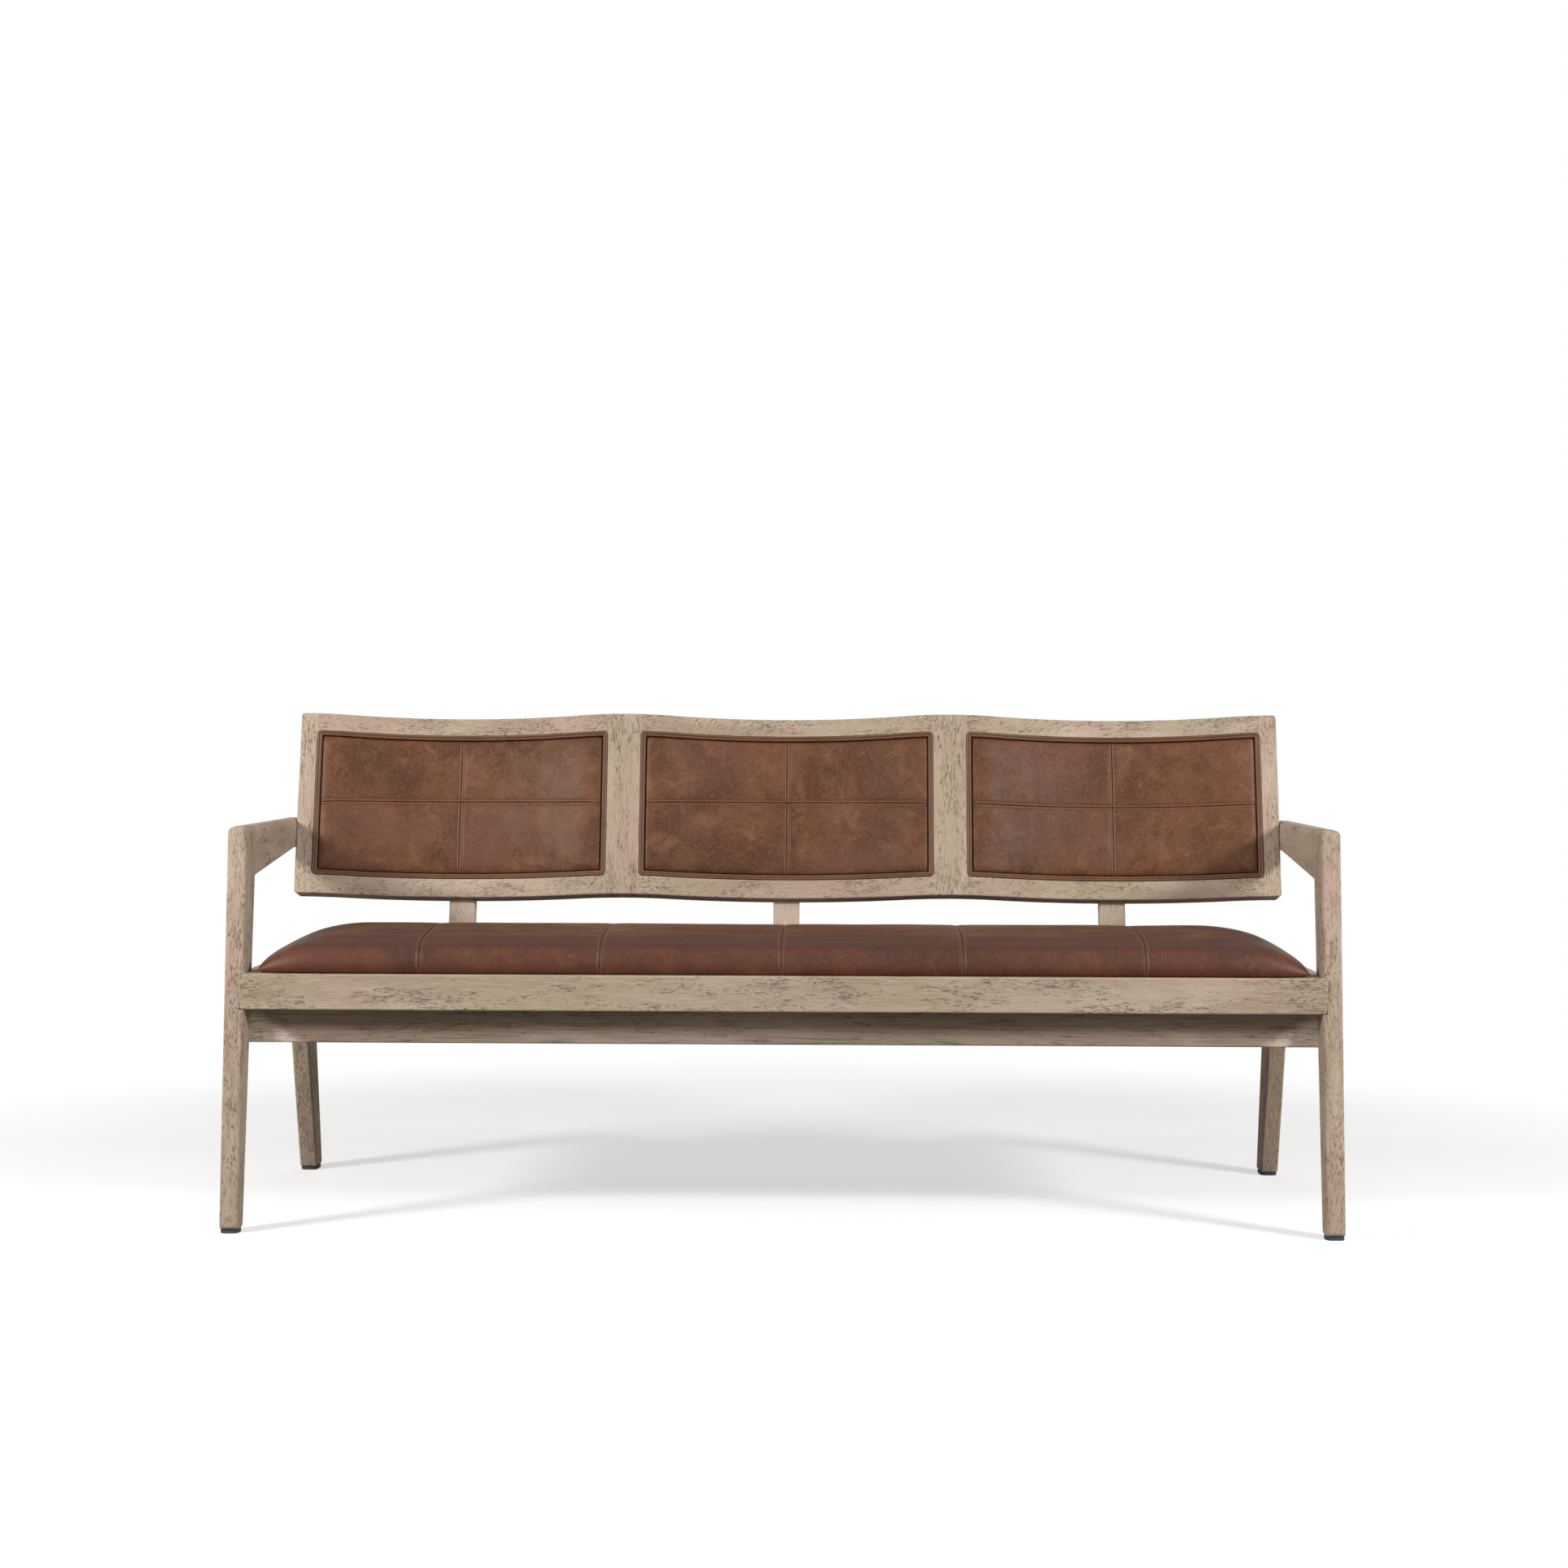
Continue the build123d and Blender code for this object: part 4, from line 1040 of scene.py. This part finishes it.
def make_room():
    """A white studio: a faint even light, a floor that keeps a soft shadow, and five softboxes."""
    white = (1.0, 1.0, 1.0, 1.0)
    even_light = 0.14
    world = bpy.data.worlds.new("studio")
    bpy.context.scene.world = world
    world.use_nodes = True
    sky = Finish("studio", world.node_tree)
    strength = even_light + seen_directly(sky) * (1 - even_light)
    glow = sky.node("ShaderNodeBackground", None, {"Color": white, "Strength": strength})
    sky.node("ShaderNodeOutputWorld", None, {"Surface": glow})

    floor_in_bounces = (0.34, 0.33, 0.32, 1.0)
    floor_in_view = (0.62, 0.62, 0.62, 1.0)
    floor_glow = 0.52
    shadow_fades = 1.3, 2.2
    ground = Finish("studio_floor")
    seen = ground.node("ShaderNodeLightPath", out="Is Camera Ray")
    colour = ground.mix(seen, floor_in_bounces, floor_in_view)
    paint = ground.node("ShaderNodeBsdfDiffuse", None, {"Color": colour})
    lift = ground.node("ShaderNodeEmission", None, {"Color": white, "Strength": floor_glow})
    near = ground.node("ShaderNodeAddShader", None, {0: paint, 1: lift})
    far = ground.node("ShaderNodeEmission", None, {"Color": white, "Strength": 1.0})
    away = ground.node("ShaderNodeVectorMath", {"operation": "LENGTH"}, {0: ground.place()}, out="Value")
    share = ground.between(away, *shadow_fades)
    view = ground.node("ShaderNodeMixShader", None, {0: share, 1: near, 2: far})
    chosen = ground.node("ShaderNodeMixShader", None, {0: seen, 1: paint, 2: view})
    ground.node("ShaderNodeOutputMaterial", None, {"Surface": chosen})

    reach = 14.0
    corners = [(-reach, -reach, 0), (reach, -reach, 0), (reach, reach, 0), (-reach, reach, 0)]
    floor = put_mesh("studio_floor", corners, [(0, 1, 2, 3)])
    floor.data.materials.append(ground.material)

    area_lamp("left_softbox", (-2.7, -1.7, 1.7), (-0.2, 0, 0.6), (0.5, 0.5), 70, (1.0, 0.985, 0.965))
    area_lamp("right_softbox", (2.7, -1.7, 1.7), (0.2, 0, 0.6), (0.5, 0.5), 67, (1.0, 0.99, 0.975))
    area_lamp("front_softbox", (0.3, -4.7, 2.0), (0, 0, 0.6), (1.8, 1.2), 14)
    area_lamp("high_softbox", (0.0, -2.0, 3.4), (0, 0, 0.5), (3.0, 0.8), 12)
    area_lamp("rear_softbox", (0.0, 4.4, 2.2), (0, 0, 0.5), (3.4, 1.6), 40)


def make_camera():
    """The photograph's view: nearly level, from the front and a little right of the middle."""
    place = (83.8 * MM, FRONT - 4004.6 * MM, 775.9 * MM)
    yaw, pitch, roll = -0.0198, 0.0131, 0.0028
    forward = Vector((math.sin(yaw) * math.cos(pitch), math.cos(yaw) * math.cos(pitch), -math.sin(pitch)))
    right = Vector((math.cos(yaw), -math.sin(yaw), 0.0))
    up = right.cross(forward)
    turned_right = right * math.cos(roll) + up * math.sin(roll)
    turned_up = up * math.cos(roll) - right * math.sin(roll)
    data = bpy.data.cameras.new("camera")
    data.sensor_width = SENSOR_WIDTH
    data.lens = FOCAL_LENGTH / PHOTO_SIDE * data.sensor_width
    camera = put("camera", data)
    axes = Matrix((turned_right, turned_up, -forward)).transposed().to_4x4()
    camera.matrix_world = Matrix.Translation(place) @ axes
    bpy.context.scene.camera = camera


# The bench's finishes and pieces

def lean(degrees):
    """Up, leaning back by some degrees."""
    return (0.0, math.sin(math.radians(degrees)), math.cos(math.radians(degrees)))


def finish_oak():
    """Gives each of the model's own pieces its finish."""
    level = (1.0, 0.0, 0.0)
    back = (0.0, 1.0, 0.0)
    finishes = {
        "front_leg": weathered_oak("oak_front_leg", lean(7.0), 1.0, marks=1.1, shade=0.04, gather=all_over),
        "rear_leg": weathered_oak("oak_rear_leg", lean(-14.5), 2.0, gather=all_over),
        "armrest": weathered_oak("oak_armrest", (0.0, 1.0, 0.03), 3.0, shade=0.05),
        "side_rail": weathered_oak("oak_side_rail", back, 4.0),
        "front_seat_rail": weathered_oak("oak_front_rail", level, 5.0, shade=0.06, gather=rail_ends),
        # The apron: a painted shadow under the front rail and painted light on its corners
        "front_apron": weathered_oak(
            "oak_apron", level, 6.0, marks=1.15, shade=0.46, lines=0.7,
            gather=rail_ends, painted_shadow_where=under_rail, paling_and_painted_light=apron_painted_light_corners,
        ),
        "rear_seat_rail": weathered_oak("oak_rear_rail", level, 7.0, marks=0.7),
        "panel_top_rail": weathered_oak("oak_back_top_rail", level, 8.0, hatch=0.5, gather=frame_corners),
        "panel_bottom_rail": weathered_oak(
            "oak_back_bottom_rail", level, 9.0, hatch=0.45, gather=frame_corners,
        ),
        "stile": weathered_oak("oak_back_stile", lean(12.5), 10.0, gather=frame_corners),
        # The back posts: painted light, paler all over
        "back_post": weathered_oak("oak_back_post", lean(12.5), 11.0, marks=0.6, paling_and_painted_light=all_over),
        "seat_bearer": weathered_oak("oak_seat_bearer", back, 12.0, marks=0.6),
        "corner_block": weathered_oak("oak_corner_block", lean(0.0), 13.0, marks=0.6),
        "dowels": plain_finish("beech_dowel", srgb(206, 176, 136), srgb(190, 156, 114), 60, 0.6),
        "screws": plain_finish("zinc_screw", srgb(176, 176, 174), srgb(150, 150, 150), 400, 0.32, 1.0),
        "glide": plain_finish("felted_rubber_glide", srgb(78, 82, 90), srgb(60, 63, 70), 500, 0.75, 0.0, 0.5),
        "board": layered_plywood(),
    }
    for node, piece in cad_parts.items():
        for ending, finish in finishes.items():
            if node.endswith(ending):
                for slot in piece.material_slots:
                    slot.material = finish
                if not piece.material_slots:
                    piece.data.materials.append(finish)


def make_bench():
    """The finished oak, and the seat, panels and piping in leather."""
    finish_oak()
    seat_leather = waxed_leather(
        "seat_leather", 1.0,
        light=srgb(108, 67, 46), middle=srgb(89, 51, 34), dark=srgb(68, 37, 24), tint=srgb(91, 47, 34),
        stitch_row=SEAT_STITCH_ROW, gloss=0.30, paling_and_painted_light=0.20, wear_and_painted_light=seat_wear_and_painted_light,
    )
    panel_leather = waxed_leather(
        "panel_leather", 2.0,
        light=srgb(132, 92, 66), middle=srgb(112, 72, 50), dark=srgb(84, 50, 32), tint=srgb(111, 73, 61),
        stitch_row=PANEL_STITCH_ROW,
    )
    cord_leather = waxed_leather(
        "cord_leather", 3.0,
        light=srgb(120, 84, 65), middle=srgb(102, 68, 51), dark=srgb(80, 50, 36), tint=srgb(106, 73, 59),
        gloss=0.26,
    )
    seat_thread = plain_finish("seat_thread", srgb(136, 98, 76), srgb(110, 74, 54), 300, 0.55)
    panel_thread = plain_finish("panel_thread", srgb(142, 102, 78), srgb(116, 80, 58), 300, 0.55)
    make_seat(seat_leather, seat_thread)

    def front(aside=0.0, bow=0.0):
        return PanelShape(
            inset=9.9 * MM, corner=3.0 * MM, edge=4.8 * MM, face=-2.6 * MM, crown=2.0 * MM, roll=16 * MM,
            seams_up=[0.0], seams_across=[0.0], aside=aside, bow=bow,
        )

    rear_shape = PanelShape(
        inset=0.6 * MM, corner=8.0 * MM, edge=32.0 * MM, face=38.5 * MM, crown=2.0 * MM, roll=9 * MM,
        seams_up=[0.0], seams_across=[],
    )
    trial = panel_trial(front())
    # How far each panel's seams are drawn aside and upwards
    drawn = [(-5.5 * MM, 8.0 * MM), (0.0, 8.6 * MM), (2.0 * MM, 1.4 * MM)]
    for index, name in enumerate(BACK_NAMES):
        centre = FRAME_WIDTH * (index - 1)
        make_panel(
            f"{name}_panel_leather", centre, front(*drawn[index]), FRONT_PAD_REAR, trial,
            panel_leather, panel_thread, "panel_leather", f"{name}_panel_pad", 3.0 + index,
        )
        make_panel(
            f"{name}_panel_rear_leather", centre, rear_shape, REAR_PAD_FRONT, None,
            panel_leather, panel_thread, "back_leather", f"{name}_panel_rear_pad", 6.0 + index,
        )
        make_piping(name, centre, cord_leather, 9.0 + index)


bpy.context.scene.view_settings.view_transform = "Standard"
make_room()
make_camera()
make_bench()
